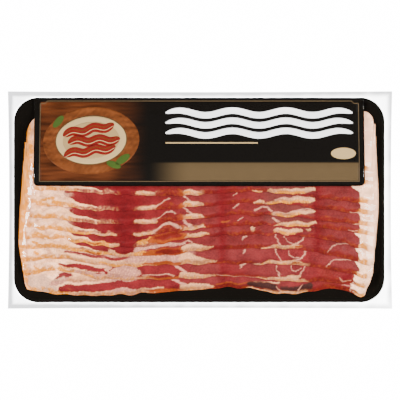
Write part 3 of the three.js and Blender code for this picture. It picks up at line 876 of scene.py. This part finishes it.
def slab(name, top, bottom):
    """A closed skin over two grids of points, one above the other, joined along their borders by
    flat walls."""
    rows, columns, _ = top.shape
    quads = grid_faces(rows, columns)
    under = quads[:, ::-1] + rows * columns
    index = np.arange(rows * columns).reshape(rows, columns)
    border = np.concatenate([index[:, 0], index[-1, 1:], index[-2::-1, -1], index[0, -2:0:-1]])
    following = np.roll(border, -1)
    offset = rows * columns
    walls = np.stack([border, border + offset, following + offset, following], axis=-1)
    points = np.concatenate([top.reshape(-1, 3), bottom.reshape(-1, 3)])
    piece = mesh_object(name, points, np.concatenate([quads, under, walls]))
    smooth = np.arange(len(piece.data.polygons)) < 2 * len(quads)
    piece.data.polygons.foreach_set("use_smooth", smooth)
    return piece


def add_colour(piece, name, colour):
    """Stores a colour at each point of a mesh."""
    attribute = piece.data.attributes.new(name, "FLOAT_COLOR", "POINT")
    values = np.concatenate([colour.reshape(-1, 3), np.ones((colour.size // 3, 1))], axis=1)
    attribute.data.foreach_set("color", values.astype(np.float32).ravel())


def finish_piece(piece, material, slot, *nodes):
    """Gives a piece its material, hangs it under the root body, and lets it stand for its CAD nodes. The
    slot is not used.
    """
    piece.data.materials.append(material)
    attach(piece, "root")
    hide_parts(*nodes)


# The flap and the card

FOLD_POINTS = 16
FOLD_TURN = 62
SLOPE_PLACES = (44.0, 34.0)
FLAP_STATIONS = 150
FLAP_COLUMNS = 80
FLAP_ROUNDS = 12
FLAP_SMOOTHED_FROM = 12
FLAP_TOP_FROM = 14
CARD_ROWS = 90
CARD_COLUMNS = 60


def flap_line():
    """(y, z) along the middle of the card's thickness, from the fold to the flap's lower edge.
    The fold is an arc, and the rest is a smooth curve over the crest of the stack."""
    fold_y = CARD_EDGE_Y - FLAP_FOLD_RADIUS - CARD_THICKNESS / 2
    fold_z = CARD_BOTTOM + CARD_THICKNESS / 2 + FLAP_FOLD_RADIUS
    turn = np.radians(np.linspace(-90, FOLD_TURN, FOLD_POINTS))
    arc_y = fold_y + FLAP_FOLD_RADIUS * np.cos(turn)
    arc_z = fold_z + FLAP_FOLD_RADIUS * np.sin(turn)
    lift = FLAP_CLEARANCE + CARD_THICKNESS / 2
    climb_y = np.array([
        y_where_ended(SLICE_COUNT - SLICE_THIN_END), y_where_ended(SLICE_COUNT - 1), *SLOPE_PLACES,
    ])
    climb_z = top_z(SLICE_COUNT, climb_y) + lift
    crest_y = np.array([
        FRONT_EDGES[-1].min() + FRONT_SLANT, FRONT_EDGES[-2].min() + FRONT_SLANT,
    ])
    crest_z = np.array([top_z(SLICE_COUNT, crest_y[0]), top_z(SLICE_COUNT - 1, crest_y[1])]) + lift
    y = np.concatenate([[fold_y - 2], arc_y, climb_y, crest_y, [FLAP_END_Y]])
    z = np.concatenate([[arc_z[0]], arc_z, climb_z, crest_z, [crest_z[-1] - 0.5]])
    steps = np.concatenate([[0], np.cumsum(np.hypot(np.diff(y), np.diff(z)))])
    even = np.linspace(0, steps[-1], FLAP_STATIONS)
    y, z = np.interp(even, steps, y), np.interp(even, steps, z)
    first = FLAP_SMOOTHED_FROM
    for _ in range(FLAP_ROUNDS):
        for line in (y, z):
            line[first:-1] = (line[first - 1:-2] + 2 * line[first:-1] + line[first + 1:]) / 4
    return y, z


def flap_top(y):
    """Height of the flap's upper face at y."""
    line_y, line_z = (line[FLAP_TOP_FROM:] for line in flap_line())
    order = np.argsort(line_y)
    return np.interp(y, line_y[order], line_z[order]) + CARD_THICKNESS / 2


def rounded_reach(from_edge, radius):
    """How far a side draws in at a distance from the end, so that the corner is an arc."""
    inside = np.clip(radius - from_edge, 0, radius)
    return radius - np.sqrt(radius**2 - inside**2)


def card_sheet():
    """Top and bottom grids of the flat card: rows across y, each as long as the rounded outline."""
    half_width = (CARD_HIGH[1] - CARD_LOW[1]) / 2
    turn = np.linspace(-math.pi / 2, math.pi / 2, CARD_ROWS)
    row_y = half_width * np.sin(turn)
    half = CARD_LENGTH / 2 - rounded_reach(half_width - np.abs(row_y), CARD_CORNER)
    u = np.linspace(-1, 1, CARD_COLUMNS)[:, None]
    x = CARD_CENTRE_X + u * half[None, :]
    y = row_y[None, :] + 0 * x
    bottom = np.stack([x, y, 0 * x + CARD_BOTTOM], axis=-1)
    top = np.stack([x, y, 0 * x + CARD_TOP], axis=-1)
    return top, bottom


def flap_sheet():
    """Top and bottom grids of the flap: its line swept across x, with an arc at each lower corner."""
    y, z = flap_line()
    across = np.stack([-np.gradient(z), np.gradient(y)], axis=-1)
    across /= -np.linalg.norm(across, axis=1, keepdims=True)
    length_left = np.hypot(y - y[-1], z - z[-1])
    half = FLAP_HALF_WIDTH - rounded_reach(length_left, FLAP_CORNER)
    u = np.linspace(-1, 1, FLAP_COLUMNS)[:, None]
    x = CARD_CENTRE_X + u * half[None, :]
    sheets = []
    for side in (0.5, -0.5):
        side_y = y + side * CARD_THICKNESS * across[:, 0]
        side_z = z + side * CARD_THICKNESS * across[:, 1]
        sheets.append(np.stack([x, side_y + 0 * x, side_z + 0 * x], axis=-1))
    return sheets


def join(name, pieces):
    """Makes one object of several."""
    with bpy.context.temp_override(
        active_object=pieces[0], selected_editable_objects=pieces, selected_objects=pieces
    ):
        bpy.ops.object.join()
    pieces[0].name = name
    pieces[0].data.name = name
    return pieces[0]


# The label's print

LABEL_LEFT = -116.5
LABEL_RIGHT = 115.6
LABEL_TOP = 72.3
LABEL_BOTTOM = 13.2
LINE_WIDTH = 0.5
NOTCH = 6.0
NOTCH_LOW = 70.3
GROUND_INSET = 0.7
INK_UNDERSIDE = 0.005
PLANK_PITCH = 14.5
TAN_BAND_TOP = 27.0
WAVE_LEFT = -25.0
WAVE_LENGTH = 136.0
WAVE_FOOT = 48.6
WAVE_PITCH = 7.4
WAVE_COUNT = 3.5
PLATE_X = -79.0


def ink_patch(name, x, y, colour, layer=1):
    """A thin slab of print that follows the flap over grids x and y."""
    z = flap_top(y)
    top = np.stack([x, y, z + size_mm("ink_lift") * layer], axis=-1)
    bottom = np.stack([x, y, z + INK_UNDERSIDE], axis=-1)
    piece = slab(name, top, bottom)
    shade = np.broadcast_to(colour, (*x.shape, 3)).reshape(-1, 3)
    add_colour(piece, "ink_colour", np.concatenate([shade, shade]))
    return piece


def ink_rectangle(name, left, low, right, high, colour, layer=1):
    """A rectangle of print, in one colour or in what a function gives at each x and y."""
    columns = max(3, int((right - left) / 1.2))
    rows = max(3, int((high - low) / 1.2))
    x, y = np.meshgrid(np.linspace(left, right, columns), np.linspace(low, high, rows), indexing="ij")
    return ink_patch(name, x, y, colour(x, y) if callable(colour) else linear(colour), layer)


def ink_ribbon(name, path_x, path_y, half_width, ink, layer=1):
    """A ribbon of print along a path, as wide as half_width says at each point."""
    path_x, path_y, half_width = np.broadcast_arrays(path_x, path_y, half_width)
    along_x, along_y = np.gradient(path_x), np.gradient(path_y)
    size = np.hypot(along_x, along_y)
    side = np.linspace(-1, 1, 9)[None, :]
    x = path_x[:, None] - (along_y / size * half_width)[:, None] * side
    y = path_y[:, None] + (along_x / size * half_width)[:, None] * side
    return ink_patch(name, x, y, linear(ink), layer)


def ink_oval(name, x, y, radius_x, radius_y, tilt, ink, layer=1):
    """An oval of print, turned by tilt degrees: columns of points under half a turn."""
    turn = np.linspace(0.02, math.pi - 0.02, 56)[:, None]
    v = np.linspace(-1, 1, 31)[None, :]
    along_x = -radius_x * np.cos(turn) + 0 * v
    along_y = radius_y * np.sin(turn) * v
    cos, sin = math.cos(math.radians(tilt)), math.sin(math.radians(tilt))
    x = x + along_x * cos - along_y * sin
    y = y + along_x * sin + along_y * cos
    return ink_patch(name, x, y, ink(x, y) if callable(ink) else linear(ink), layer)


def board_colour(x, y):
    """The serving board: long streaks of grain along x."""
    grain = 1 + 0.28 * wobble(43, 0.12 * x, y, 4.5) + 0.16 * wobble(44, 0.3 * x, y, 1.9)
    return linear("board_ink") * np.clip(grain, 0.3, 2)[..., None]


def ground_colour(x, y):
    """The label's ground: dark planks on the left that fade into the card, and a tan band on the
    right that fades into it towards the planks."""
    grain = 1 + 0.3 * wobble(41, 0.15 * x, y, 3.2) + 0.2 * wobble(42, 0.05 * x, y, 9)
    gap = soft_step(np.abs((y + 3) % PLANK_PITCH - PLANK_PITCH / 2) - 6.9, 0.3)
    planks = linear("wood_ink") * (grain * (1 - 0.75 * gap))[..., None]
    ground = planks + (linear("card") - planks) * soft_step(x + 56, 20)[..., None]
    band = soft_step(TAN_BAND_TOP - y, 0.4) * soft_step(x + 22, 16)
    return ground + (linear("tan_ink") - ground) * band[..., None]


def rasher(name, x, y, length_mm, tilt, layer):
    """A wavy printed rasher: a red ribbon with two cream streaks."""
    t = np.linspace(-0.5, 0.5, 40)
    cos, sin = math.cos(math.radians(tilt)), math.sin(math.radians(tilt))
    along_x = t * length_mm
    pieces = []
    for rank, (shift, half, ink) in enumerate(
        ((0.0, 3.4, "red_ink"), (1.2, 0.35, "board_ink"), (-1.2, 0.25, "cream_ink"))
    ):
        across = shift + 1.1 * np.sin(t * 15)
        taper = half * np.sqrt(np.clip(1 - (2.02 * t) ** 6, 0.02, 1))
        pieces.append(ink_ribbon(
            f"{name}_{rank}", x + along_x * cos - across * sin, y + along_x * sin + across * cos,
            taper, ink, layer + min(rank, 1),
        ))
    return pieces


def label_pieces():
    """The frame line, the picture field, the band and the ornament."""
    inks = [
        ink_rectangle(
            "ground", LABEL_LEFT + GROUND_INSET, LABEL_BOTTOM + GROUND_INSET,
            LABEL_RIGHT - GROUND_INSET, LABEL_TOP - GROUND_INSET - 0.2, ground_colour,
        ),
        ink_oval("board", PLATE_X, 43.0, 35.0, 24.5, 4, board_colour, 2),
        ink_oval("plate_rim", PLATE_X, 43.5, 26.0, 18.0, 4, "tan_ink", 3),
        ink_oval("plate", PLATE_X, 43.5, 25.4, 17.4, 4, "cream_ink", 4),
        ink_oval("plate_well", PLATE_X, 43.4, 20.6, 13.4, 4, "plate_ink", 5),
        ink_oval("leaf_a", -56.0, 29.5, 6.0, 2.6, 35, "leaf_ink", 6),
        ink_oval("leaf_b", -62.5, 25.6, 5.4, 2.4, -20, "leaf_ink", 6),
        ink_oval("leaf_c", -103.0, 57.0, 5.4, 2.4, 50, "leaf_ink", 5),
        ink_oval("dot", 104.0, 33.8, 9.0, 4.2, 0, "cream_ink", 2),
    ]
    inner_left, inner_right = LABEL_LEFT + LINE_WIDTH, LABEL_RIGHT - LINE_WIDTH
    side_top = NOTCH_LOW + 0.3
    for edge, *corners in (
        ("low", LABEL_LEFT, LABEL_BOTTOM, LABEL_RIGHT, LABEL_BOTTOM + LINE_WIDTH),
        ("left", LABEL_LEFT, LABEL_BOTTOM, inner_left, side_top),
        ("right", inner_right, LABEL_BOTTOM, LABEL_RIGHT, side_top),
        ("top", LABEL_LEFT + NOTCH, LABEL_TOP - LINE_WIDTH, LABEL_RIGHT - NOTCH, LABEL_TOP),
    ):
        inks.append(ink_rectangle(f"line_{edge}", *corners, "gold_line", 2))
    t = np.linspace(0, 1, 14)
    for side, corner_x in ((1, LABEL_LEFT), (-1, LABEL_RIGHT)):
        step_x = corner_x + side * NOTCH * t
        step_y = NOTCH_LOW + (LABEL_TOP - LINE_WIDTH / 2 - NOTCH_LOW) * soft_step(t - 0.75, 0.18)
        inks.append(ink_ribbon(f"line_step_{side}", step_x, step_y, LINE_WIDTH / 2, "gold_line", 2))
    for rank, (x, y, tilt) in enumerate(((-81.0, 51.0, 10), (-77.0, 43.2, 2), (-80.0, 35.6, 8))):
        inks += rasher(f"rasher_{rank}", x, y, 38.0, tilt, 6)
    t = np.linspace(0, 1, 90)
    for rank in range(3):
        path_y = WAVE_FOOT + WAVE_PITCH * rank + 1.7 * np.sin(t * FULL_TURN * WAVE_COUNT)
        taper = 2.3 * np.sqrt(np.clip(1 - (2 * t - 1) ** 10, 0.03, 1))
        path_x = WAVE_LEFT + WAVE_LENGTH * t
        inks.append(ink_ribbon(f"wave_{rank}", path_x, path_y, taper, "white_ink", 2))
    inks.append(ink_rectangle("rule", WAVE_LEFT, 41.0, 42.0, 42.0, "cream_ink", 2))
    return inks


# The film

MARGIN_TOP = 0.22
FILM_UNDERSIDE = 0.02
SEAL_BAND = 2.9
FOLD_SETBACK = 0.3
FILM_ROUNDS = 2
FILM_END_STEPS = (1.45, 0.36)
FILM_SIDE_STEPS = (1.25, 0.6)
FILM_END_WALLS = (117.0, 135.8)
FILM_SIDE_WALLS = (70.0, 75.4)
BRIDGE_END = -118.5
BRIDGE_REACH = 4
BRIDGE_ROUNDS = 6
LEFT_WALL_SLOPE = 3.0
RIGHT_WALL_SLOPE = 4.3
BACK_WALL_SLOPE = 3.0


def film_lines(half, coarse, fine, fine_from, fine_to):
    """Places across the film as shares of its half size: fine steps where it comes down a wall."""
    inner = np.arange(0, fine_from, coarse)
    walls = np.arange(fine_from, fine_to, fine)
    places = np.concatenate([inner, walls, np.linspace(fine_to, half, 6)]) / half
    return np.concatenate([-places[:0:-1], places])


def film_grid():
    """x and y of the film: a rectangle whose sides draw in a little between the corners."""
    u = film_lines(FILM_LENGTH / 2, *FILM_END_STEPS, *FILM_END_WALLS)[:, None]
    v = film_lines(FILM_WIDTH / 2, *FILM_SIDE_STEPS, *FILM_SIDE_WALLS)[None, :]
    x = u * (FILM_LENGTH / 2 - FILM_END_BOW * (1 - v**2))
    y = v * (FILM_WIDTH / 2 - FILM_SIDE_BOW * (1 - u**2))
    return x, y


def stack_top(x, y):
    """Height of the slices at (x, y): soft front edges, and end walls that lean."""
    x = x - end_bow(x, y)
    height = np.full(x.shape, 0.0)
    for number in range(1, SLICE_COUNT + 1):
        left, right = slice_ends(number)
        v = y - foot_y(number, x)
        rise = front_rise(v)
        low_z = underside_z(number, y - v)
        z = low_z + (top_z(number, y) - low_z) * rise
        z = SLICE_FLOOR + (z - SLICE_FLOOR) * crown(x) + rise * (relief_z(number, x, v) - SLICE_GAP)
        ahead = back_y(number, x)
        left, right = left + corner_inset(v), right - corner_inset(v)
        wall = np.minimum((x - left) * LEFT_WALL_SLOPE, (right - x) * RIGHT_WALL_SLOPE)
        z = np.minimum(z, SLICE_FLOOR + np.minimum(wall, BACK_WALL_SLOPE * (ahead - y)))
        z = np.where((v > 0) & (y < ahead) & (x > left) & (x < right), z, 0)
        height = np.maximum(height, z)
    return height


def contents_top(x, y):
    """Height of everything under the film at (x, y)."""
    half = CARD_LENGTH / 2 - rounded_reach(CARD_EDGE_Y - np.abs(y), CARD_CORNER)
    on_card = (np.abs(x - CARD_CENTRE_X) < half) & (np.abs(y) < CARD_EDGE_Y)
    height = np.where(on_card, CARD_TOP, 0.0)
    height = np.maximum(height, stack_top(x, y))
    side = FLAP_HALF_WIDTH - rounded_reach(y - FLAP_END_Y, FLAP_CORNER)
    on_flap = (np.abs(x - CARD_CENTRE_X) < side) & (y > FLAP_END_Y) & (y < CARD_EDGE_Y - FOLD_SETBACK)
    return np.where(on_flap, np.maximum(height, flap_top(y) + 0.1), height)


def bridged(x, height):
    """The height with its hollows along y filled at the left end, where the film is stretched
    straight from crest to crest: the lowest of the highest neighbours, then smoothed."""
    def spread(values, choose):
        shifted = [np.roll(values, step, axis=1) for step in range(-BRIDGE_REACH, BRIDGE_REACH + 1)]
        return choose(shifted, axis=0)

    filled = spread(spread(height, np.max), np.min)
    for _ in range(BRIDGE_ROUNDS):
        filled[:, 1:-1] = (filled[:, :-2] + 2 * filled[:, 1:-1] + filled[:, 2:]) / 4
    return np.maximum(height, height + soft_step(BRIDGE_END - x, 4.0) * (filled - height))


def blurred(height):
    """The height with each inner point halfway to the mean of its four neighbours."""
    mean = height.copy()
    around = height[:-2, 1:-1] + height[2:, 1:-1] + height[1:-1, :-2] + height[1:-1, 2:]
    mean[1:-1, 1:-1] = (around + 4 * height[1:-1, 1:-1]) / 8
    return mean


def film_surfaces():
    """Top and bottom grids of the film, how milky it is with painted shade in it, and where it clings flat
    to the card.
    The top starts on its contents. Round by round each point takes the mean of its neighbours,
    but never sinks into what it covers, as a sheet that is sucked tight does.
    The margin's milky grey is strongest near its border, and deepens towards the left and along the upper
    side as painted shade."""
    x, y = film_grid()
    hard = np.maximum(contents_top(x, y) + size_mm("film_clearance"), MARGIN_TOP)
    hard = bridged(x, hard)
    z = hard
    for _ in range(FILM_ROUNDS):
        z = np.maximum(hard, blurred(z))
    z = blurred(z)
    from_end, from_side = FILM_LENGTH / 2 - np.abs(x), FILM_WIDTH / 2 - np.abs(y)
    crinkle = 0.05 * wobble(31, x, y, 9) + 0.03 * wobble(32, x, y, 4)
    z = z + crinkle * (soft_step(from_end - 2, 1.5) * soft_step(from_side - 2, 1.5))
    bottom = np.stack([x, y, 0 * x + FILM_LOW[2] + FILM_UNDERSIDE], axis=-1)
    from_border = np.minimum(from_end, from_side)
    # The grey of the margin grows towards the left and the upper side: painted shade.
    strength = np.clip(1.12 - 0.3 * x / FILM_LENGTH * 2 + 0.14 * y / FILM_WIDTH * 2, 0, 1.3)
    strength = strength + 0.08 * wobble(33, x, y, 16)
    inner = soft_step(from_border - SEAL_BAND, 2.2)
    seal_milk_and_shade = soft_step(CARD_TOP - 0.3 - z, 0.25) * strength * (1 - 0.6 * inner)
    cling = soft_step(CARD_TOP + 2.4 - z, 1.4)
    return np.stack([x, y, z], axis=-1), bottom, seal_milk_and_shade, cling


# Shader building blocks

ROOM_GLOW = 0.12
FILM_IOR = 1.46
CLEAR_TINT = (0.985, 0.985, 0.985, 1.0)
MILKY_TINT = (0.36, 0.36, 0.365, 1.0)


def new_material(name):
    """An empty node material with its output node."""
    material = bpy.data.materials.new(name)
    material.use_nodes = True
    material.node_tree.nodes.clear()
    return material, material.node_tree, add_node(material.node_tree, "OutputMaterial")


def add_node(tree, kind, values=(), **settings):
    """Adds a shader node with its settings, and with values on some of its input sockets."""
    node = tree.nodes.new("ShaderNode" + kind)
    for name, setting in settings.items():
        setattr(node, name, setting)
    for name, value in dict(values).items():
        node.inputs[name].default_value = value
    return node


def connect(tree, *pairs):
    """Links the output and the input socket of each pair."""
    for source, target in pairs:
        tree.links.new(source, target)


def add_noise(tree, detail, values=()):
    """A noise on object coordinates."""
    noise = add_node(tree, "TexNoise", {"Detail": detail, **dict(values)})
    connect(tree, (add_node(tree, "TexCoord").outputs["Object"], noise.inputs["Vector"]))
    return noise


def attribute_value(tree, name):
    """The value socket of a mesh attribute."""
    return add_node(tree, "Attribute", attribute_name=name).outputs["Fac"]


def mottle_group():
    """Group: multiplies a colour by a slow and a fine noise, each with its own share."""
    tree = bpy.data.node_groups.new("uneven_tone", "ShaderNodeTree")
    for name, direction, kind, default in (
        ("Colour", "INPUT", "NodeSocketColor", None),
        ("Coarse scale", "INPUT", "NodeSocketFloat", 60.0),
        ("Fine scale", "INPUT", "NodeSocketFloat", 900.0),
        ("Amount", "INPUT", "NodeSocketFloat", 0.2),
        ("Colour", "OUTPUT", "NodeSocketColor", None),
        ("Grain", "OUTPUT", "NodeSocketFloat", None),
    ):
        socket = tree.interface.new_socket(name=name, in_out=direction, socket_type=kind)
        if default is not None:
            socket.default_value = default
    entry = tree.nodes.new("NodeGroupInput")
    leave = tree.nodes.new("NodeGroupOutput")
    coarse = add_noise(tree, 4.0)
    fine = add_noise(tree, 4.0)
    both = add_node(tree, "Math", operation="ADD")
    centred = add_node(tree, "Math", {1: 1.0}, operation="SUBTRACT")
    factor = add_node(tree, "Math", {2: 1.0}, operation="MULTIPLY_ADD")
    tint = add_node(tree, "VectorMath", operation="SCALE")
    connect(
        tree,
        (entry.outputs["Coarse scale"], coarse.inputs["Scale"]),
        (entry.outputs["Fine scale"], fine.inputs["Scale"]),
        (coarse.outputs["Fac"], both.inputs[0]),
        (fine.outputs["Fac"], both.inputs[1]),
        (both.outputs[0], centred.inputs[0]),
        (centred.outputs[0], factor.inputs[0]),
        (entry.outputs["Amount"], factor.inputs[1]),
        (entry.outputs["Colour"], tint.inputs[0]),
        (factor.outputs[0], tint.inputs["Scale"]),
        (tint.outputs[0], leave.inputs["Colour"]),
        (fine.outputs["Fac"], leave.inputs["Grain"]),
    )
    return tree


def mottle():
    """The shared tone group, built once."""
    return bpy.data.node_groups.get("uneven_tone") or mottle_group()


def grain_bump(tree, scale, strength, distance):
    """A bump from noise on object coordinates. Returns its normal socket."""
    noise = add_noise(tree, 5.0, {"Scale": scale})
    bump = add_node(tree, "Bump", {"Strength": strength, "Distance": distance * MM})
    connect(tree, (noise.outputs["Fac"], bump.inputs["Height"]))
    return bump.outputs["Normal"]


def surface_material(name, tone_values, roughness, bump, gloss, attribute=None):
    """A Principled material whose colour is made uneven by the tone group. The colour is among the
    group's values or comes from a mesh attribute, and the fine grain also shifts the roughness."""
    material, tree, output = new_material(name)
    shader = add_node(tree, "BsdfPrincipled", {"Specular IOR Level": gloss})
    tone = add_node(tree, "Group", tone_values, node_tree=mottle())
    rough = add_node(tree, "MapRange", {"To Min": roughness[0], "To Max": roughness[1]})
    if attribute:
        source = add_node(tree, "Attribute", attribute_name=attribute)
        connect(tree, (source.outputs["Color"], tone.inputs["Colour"]))
    connect(
        tree,
        (tone.outputs["Colour"], shader.inputs["Base Color"]),
        (tone.outputs["Grain"], rough.inputs["Value"]),
        (rough.outputs["Result"], shader.inputs["Roughness"]),
        (grain_bump(tree, *bump), shader.inputs["Normal"]),
        (shader.outputs["BSDF"], output.inputs["Surface"]),
    )
    return material


def backdrop_material():
    """Ground that is plain white to the camera, and a dim matt grey to light and reflections."""
    material, tree, output = new_material("backdrop")
    brightness = bpy.context.scene.bacon_pack.sizes.backdrop
    path = add_node(tree, "LightPath")
    matt = add_node(tree, "BsdfDiffuse", {"Color": (*linear("floor"), 1.0)})
    white = add_node(tree, "Emission", {"Strength": brightness})
    choice = add_node(tree, "MixShader")
    connect(
        tree,
        (path.outputs["Is Camera Ray"], choice.inputs["Fac"]),
        (matt.outputs[0], choice.inputs[1]),
        (white.outputs[0], choice.inputs[2]),
        (choice.outputs[0], output.inputs["Surface"]),
    )
    return material


def room_world():
    """A dim room that looks as white as the floor to the camera."""
    world = bpy.data.worlds.new("soft_room")
    world.use_nodes = True
    tree = world.node_tree
    brightness = bpy.context.scene.bacon_pack.sizes.backdrop
    path = add_node(tree, "LightPath")
    strength = add_node(tree, "MapRange", {"To Min": ROOM_GLOW, "To Max": brightness})
    background = tree.nodes["Background"]
    background.inputs["Color"].default_value = (1.0, 1.0, 1.0, 1.0)
    connect(
        tree,
        (path.outputs["Is Camera Ray"], strength.inputs["Value"]),
        (strength.outputs["Result"], background.inputs["Strength"]),
    )
    return world


def film_material():
    """Clear film: seen through, with a Fresnel share of gloss on its outer side only, so that light leaves
    it freely, and none where it clings flat. Its sealed margin is milky, and part of its grey is painted
    shade."""
    material, tree, output = new_material("clear_film")
    seal_milk_and_shade = attribute_value(tree, "seal_milk_and_shade")
    tint = add_node(tree, "Mix", {"A": CLEAR_TINT, "B": MILKY_TINT}, data_type="RGBA")
    share = add_node(tree, "MapRange", {"To Min": 0.0004, "To Max": 0.06})
    clear = add_node(tree, "BsdfTransparent")
    haze = add_node(tree, "BsdfDiffuse", {"Color": (0.9, 0.9, 0.9, 1.0)})
    gloss = add_node(tree, "BsdfGlossy", {"Roughness": 0.1})
    normal = grain_bump(tree, 300.0, 0.45, 0.25)
    fresnel = add_node(tree, "Fresnel", {"IOR": FILM_IOR})
    free = add_node(tree, "MapRange", {"To Min": 1.0, "To Max": 0.0})
    shown = add_node(tree, "Math", operation="MULTIPLY")
    side = add_node(tree, "NewGeometry")
    outside = add_node(tree, "Math", {0: 1.0}, operation="SUBTRACT")
    outer = add_node(tree, "Math", operation="MULTIPLY")
    milky = add_node(tree, "MixShader")
    shine = add_node(tree, "MixShader")
    connect(
        tree,
        (seal_milk_and_shade, tint.inputs["Factor"]),
        (seal_milk_and_shade, share.inputs["Value"]),
        (tint.outputs["Result"], clear.inputs["Color"]),
        (normal, gloss.inputs["Normal"]),
        (normal, fresnel.inputs["Normal"]),
        (share.outputs["Result"], milky.inputs["Fac"]),
        (clear.outputs[0], milky.inputs[1]),
        (haze.outputs[0], milky.inputs[2]),
        (attribute_value(tree, "cling"), free.inputs["Value"]),
        (fresnel.outputs[0], shown.inputs[0]),
        (free.outputs["Result"], shown.inputs[1]),
        (side.outputs["Backfacing"], outside.inputs[1]),
        (shown.outputs[0], outer.inputs[0]),
        (outside.outputs[0], outer.inputs[1]),
        (outer.outputs[0], shine.inputs["Fac"]),
        (milky.outputs[0], shine.inputs[1]),
        (gloss.outputs[0], shine.inputs[2]),
        (shine.outputs[0], output.inputs["Surface"]),
    )
    return material


# Operators


class BACONPACK_OT_slices(bpy.types.Operator):
    """Builds the eleven shingled slices."""

    bl_idname = "bacon_pack.slices"
    bl_label = "Bacon slices"

    def execute(self, context):
        tone = {"Amount": 1.2, "Coarse scale": 120.0, "Fine scale": 1100.0}
        material = surface_material(
            "cured_meat", tone, (0.35, 0.6), (700.0, 0.35, 0.22), 0.1, "meat_colour"
        )
        for number in range(1, SLICE_COUNT + 1):
            points, colour = slice_points(number)
            piece = loft(f"meat_slice_{number:02d}", points)
            add_colour(piece, "meat_colour", colour)
            finish_piece(piece, material, "bacon", f"bacon_slice_{number:02d}")
        return {"FINISHED"}


class BACONPACK_OT_card(bpy.types.Operator):
    """Builds the card with its folded flap."""

    bl_idname = "bacon_pack.card"
    bl_label = "Folded card"

    def execute(self, context):
        tone = {"Colour": (*linear("card"), 1.0), "Amount": 0.3}
        material = surface_material("coated_card", tone, (0.8, 1.0), (900.0, 0.1, 0.05), 0.0)
        sheet = slab("card_sheet", *card_sheet())
        flap = slab("card_flap", *flap_sheet())
        piece = join("card_and_flap", [sheet, flap])
        finish_piece(piece, material, "card", "folded_card")
        return {"FINISHED"}


class BACONPACK_OT_label(bpy.types.Operator):
    """Builds the print on the flap."""

    bl_idname = "bacon_pack.label"
    bl_label = "Label print"

    def execute(self, context):
        tone = {"Amount": 0.12, "Coarse scale": 120.0, "Fine scale": 1100.0}
        material = surface_material(
            "label_ink", tone, (0.3, 0.4), (900.0, 0.1, 0.03), 0.02, "ink_colour"
        )
        piece = join("label_print", label_pieces())
        finish_piece(piece, material, "card")
        return {"FINISHED"}


class BACONPACK_OT_film(bpy.types.Operator):
    """Builds the clear film over and under everything."""

    bl_idname = "bacon_pack.film"
    bl_label = "Clear film"

    def execute(self, context):
        top, bottom, seal_milk_and_shade, cling = film_surfaces()
        piece = slab("clear_film", top, bottom)
        for name, amount in (("seal_milk_and_shade", seal_milk_and_shade), ("cling", cling)):
            both = np.concatenate([amount.ravel(), amount.ravel()])
            add_colour(piece, name, np.repeat(both[:, None], 3, axis=1))
        finish_piece(piece, film_material(), "film", "sealed_film")
        return {"FINISHED"}


FLOOR_REACH = 5000.0
FLOOR_TOP = -0.02
FLOOR_BOTTOM = -2

# Name, place, size and power of each lamp, in metres and watts.
LIGHTS = (
    ("window_left", (-3.0, -0.67, 2.16), (2.4, 0.85), 530.0),
    ("window_right", (2.1, 0.3, 1.5), (1.6, 2.0), 255.0),
)


class BACONPACK_OT_stage(bpy.types.Operator):
    """Builds the floor, the lights, the background and the camera."""

    bl_idname = "bacon_pack.stage"
    bl_label = "Stage"

    def execute(self, context):
        scene = context.scene
        places = np.linspace(-FLOOR_REACH, FLOOR_REACH, 3)
        x, y = np.meshgrid(places, places, indexing="ij")
        top = np.stack([x, y, 0 * x + FLOOR_TOP], axis=-1)
        bottom = np.stack([x, y, 0 * x + FLOOR_BOTTOM], axis=-1)
        floor = slab("floor", top, bottom)
        floor.data.materials.append(backdrop_material())

        for name, place, size, power in LIGHTS:
            light = bpy.data.lights.new(name, "AREA")
            light.shape = "RECTANGLE"
            light.size, light.size_y = size
            light.energy = power
            lamp = bpy.data.objects.new(name, light)
            lamp.location = place
            lamp.rotation_euler = (-lamp.location).to_track_quat("-Z", "Y").to_euler()
            scene.collection.objects.link(lamp)

        scene.world = room_world()

        sizes = scene.bacon_pack.sizes
        lens = bpy.data.cameras.new("overhead")
        lens.lens = lens.sensor_width * sizes.camera_height / sizes.camera_span
        lens.clip_end = 2 * sizes.camera_height
        camera = bpy.data.objects.new("overhead", lens)
        camera.location = (0.0, 0.0, sizes.camera_height)
        scene.collection.objects.link(camera)
        scene.camera = camera
        return {"FINISHED"}


class BACONPACK_PT_panel(bpy.types.Panel):
    """Lists the pieces of the pack."""

    bl_idname = "BACONPACK_PT_panel"
    bl_label = "Bacon Pack"
    bl_space_type = "VIEW_3D"
    bl_region_type = "UI"
    bl_category = "Bacon Pack"

    def draw(self, context):
        for operator in OPERATORS:
            self.layout.operator(operator.bl_idname)


OPERATORS = (
    BACONPACK_OT_stage,
    BACONPACK_OT_slices,
    BACONPACK_OT_card,
    BACONPACK_OT_label,
    BACONPACK_OT_film,
)
CLASSES = (
    BaconPackColours,
    BaconPackSizes,
    BaconPackSettings,
    *OPERATORS,
    BACONPACK_PT_panel,
)


def register():
    """Registers the classes and the settings."""
    for cls in CLASSES:
        bpy.utils.register_class(cls)
    bpy.types.Scene.bacon_pack = PointerProperty(type=BaconPackSettings)


def unregister():
    """Removes the settings and the classes."""
    del bpy.types.Scene.bacon_pack
    for cls in reversed(CLASSES):
        bpy.utils.unregister_class(cls)


def main():
    register()
    bpy.ops.bacon_pack.stage()
    bpy.ops.bacon_pack.slices()
    bpy.ops.bacon_pack.card()
    bpy.ops.bacon_pack.label()
    bpy.ops.bacon_pack.film()


if __name__ == "__main__":
    main()
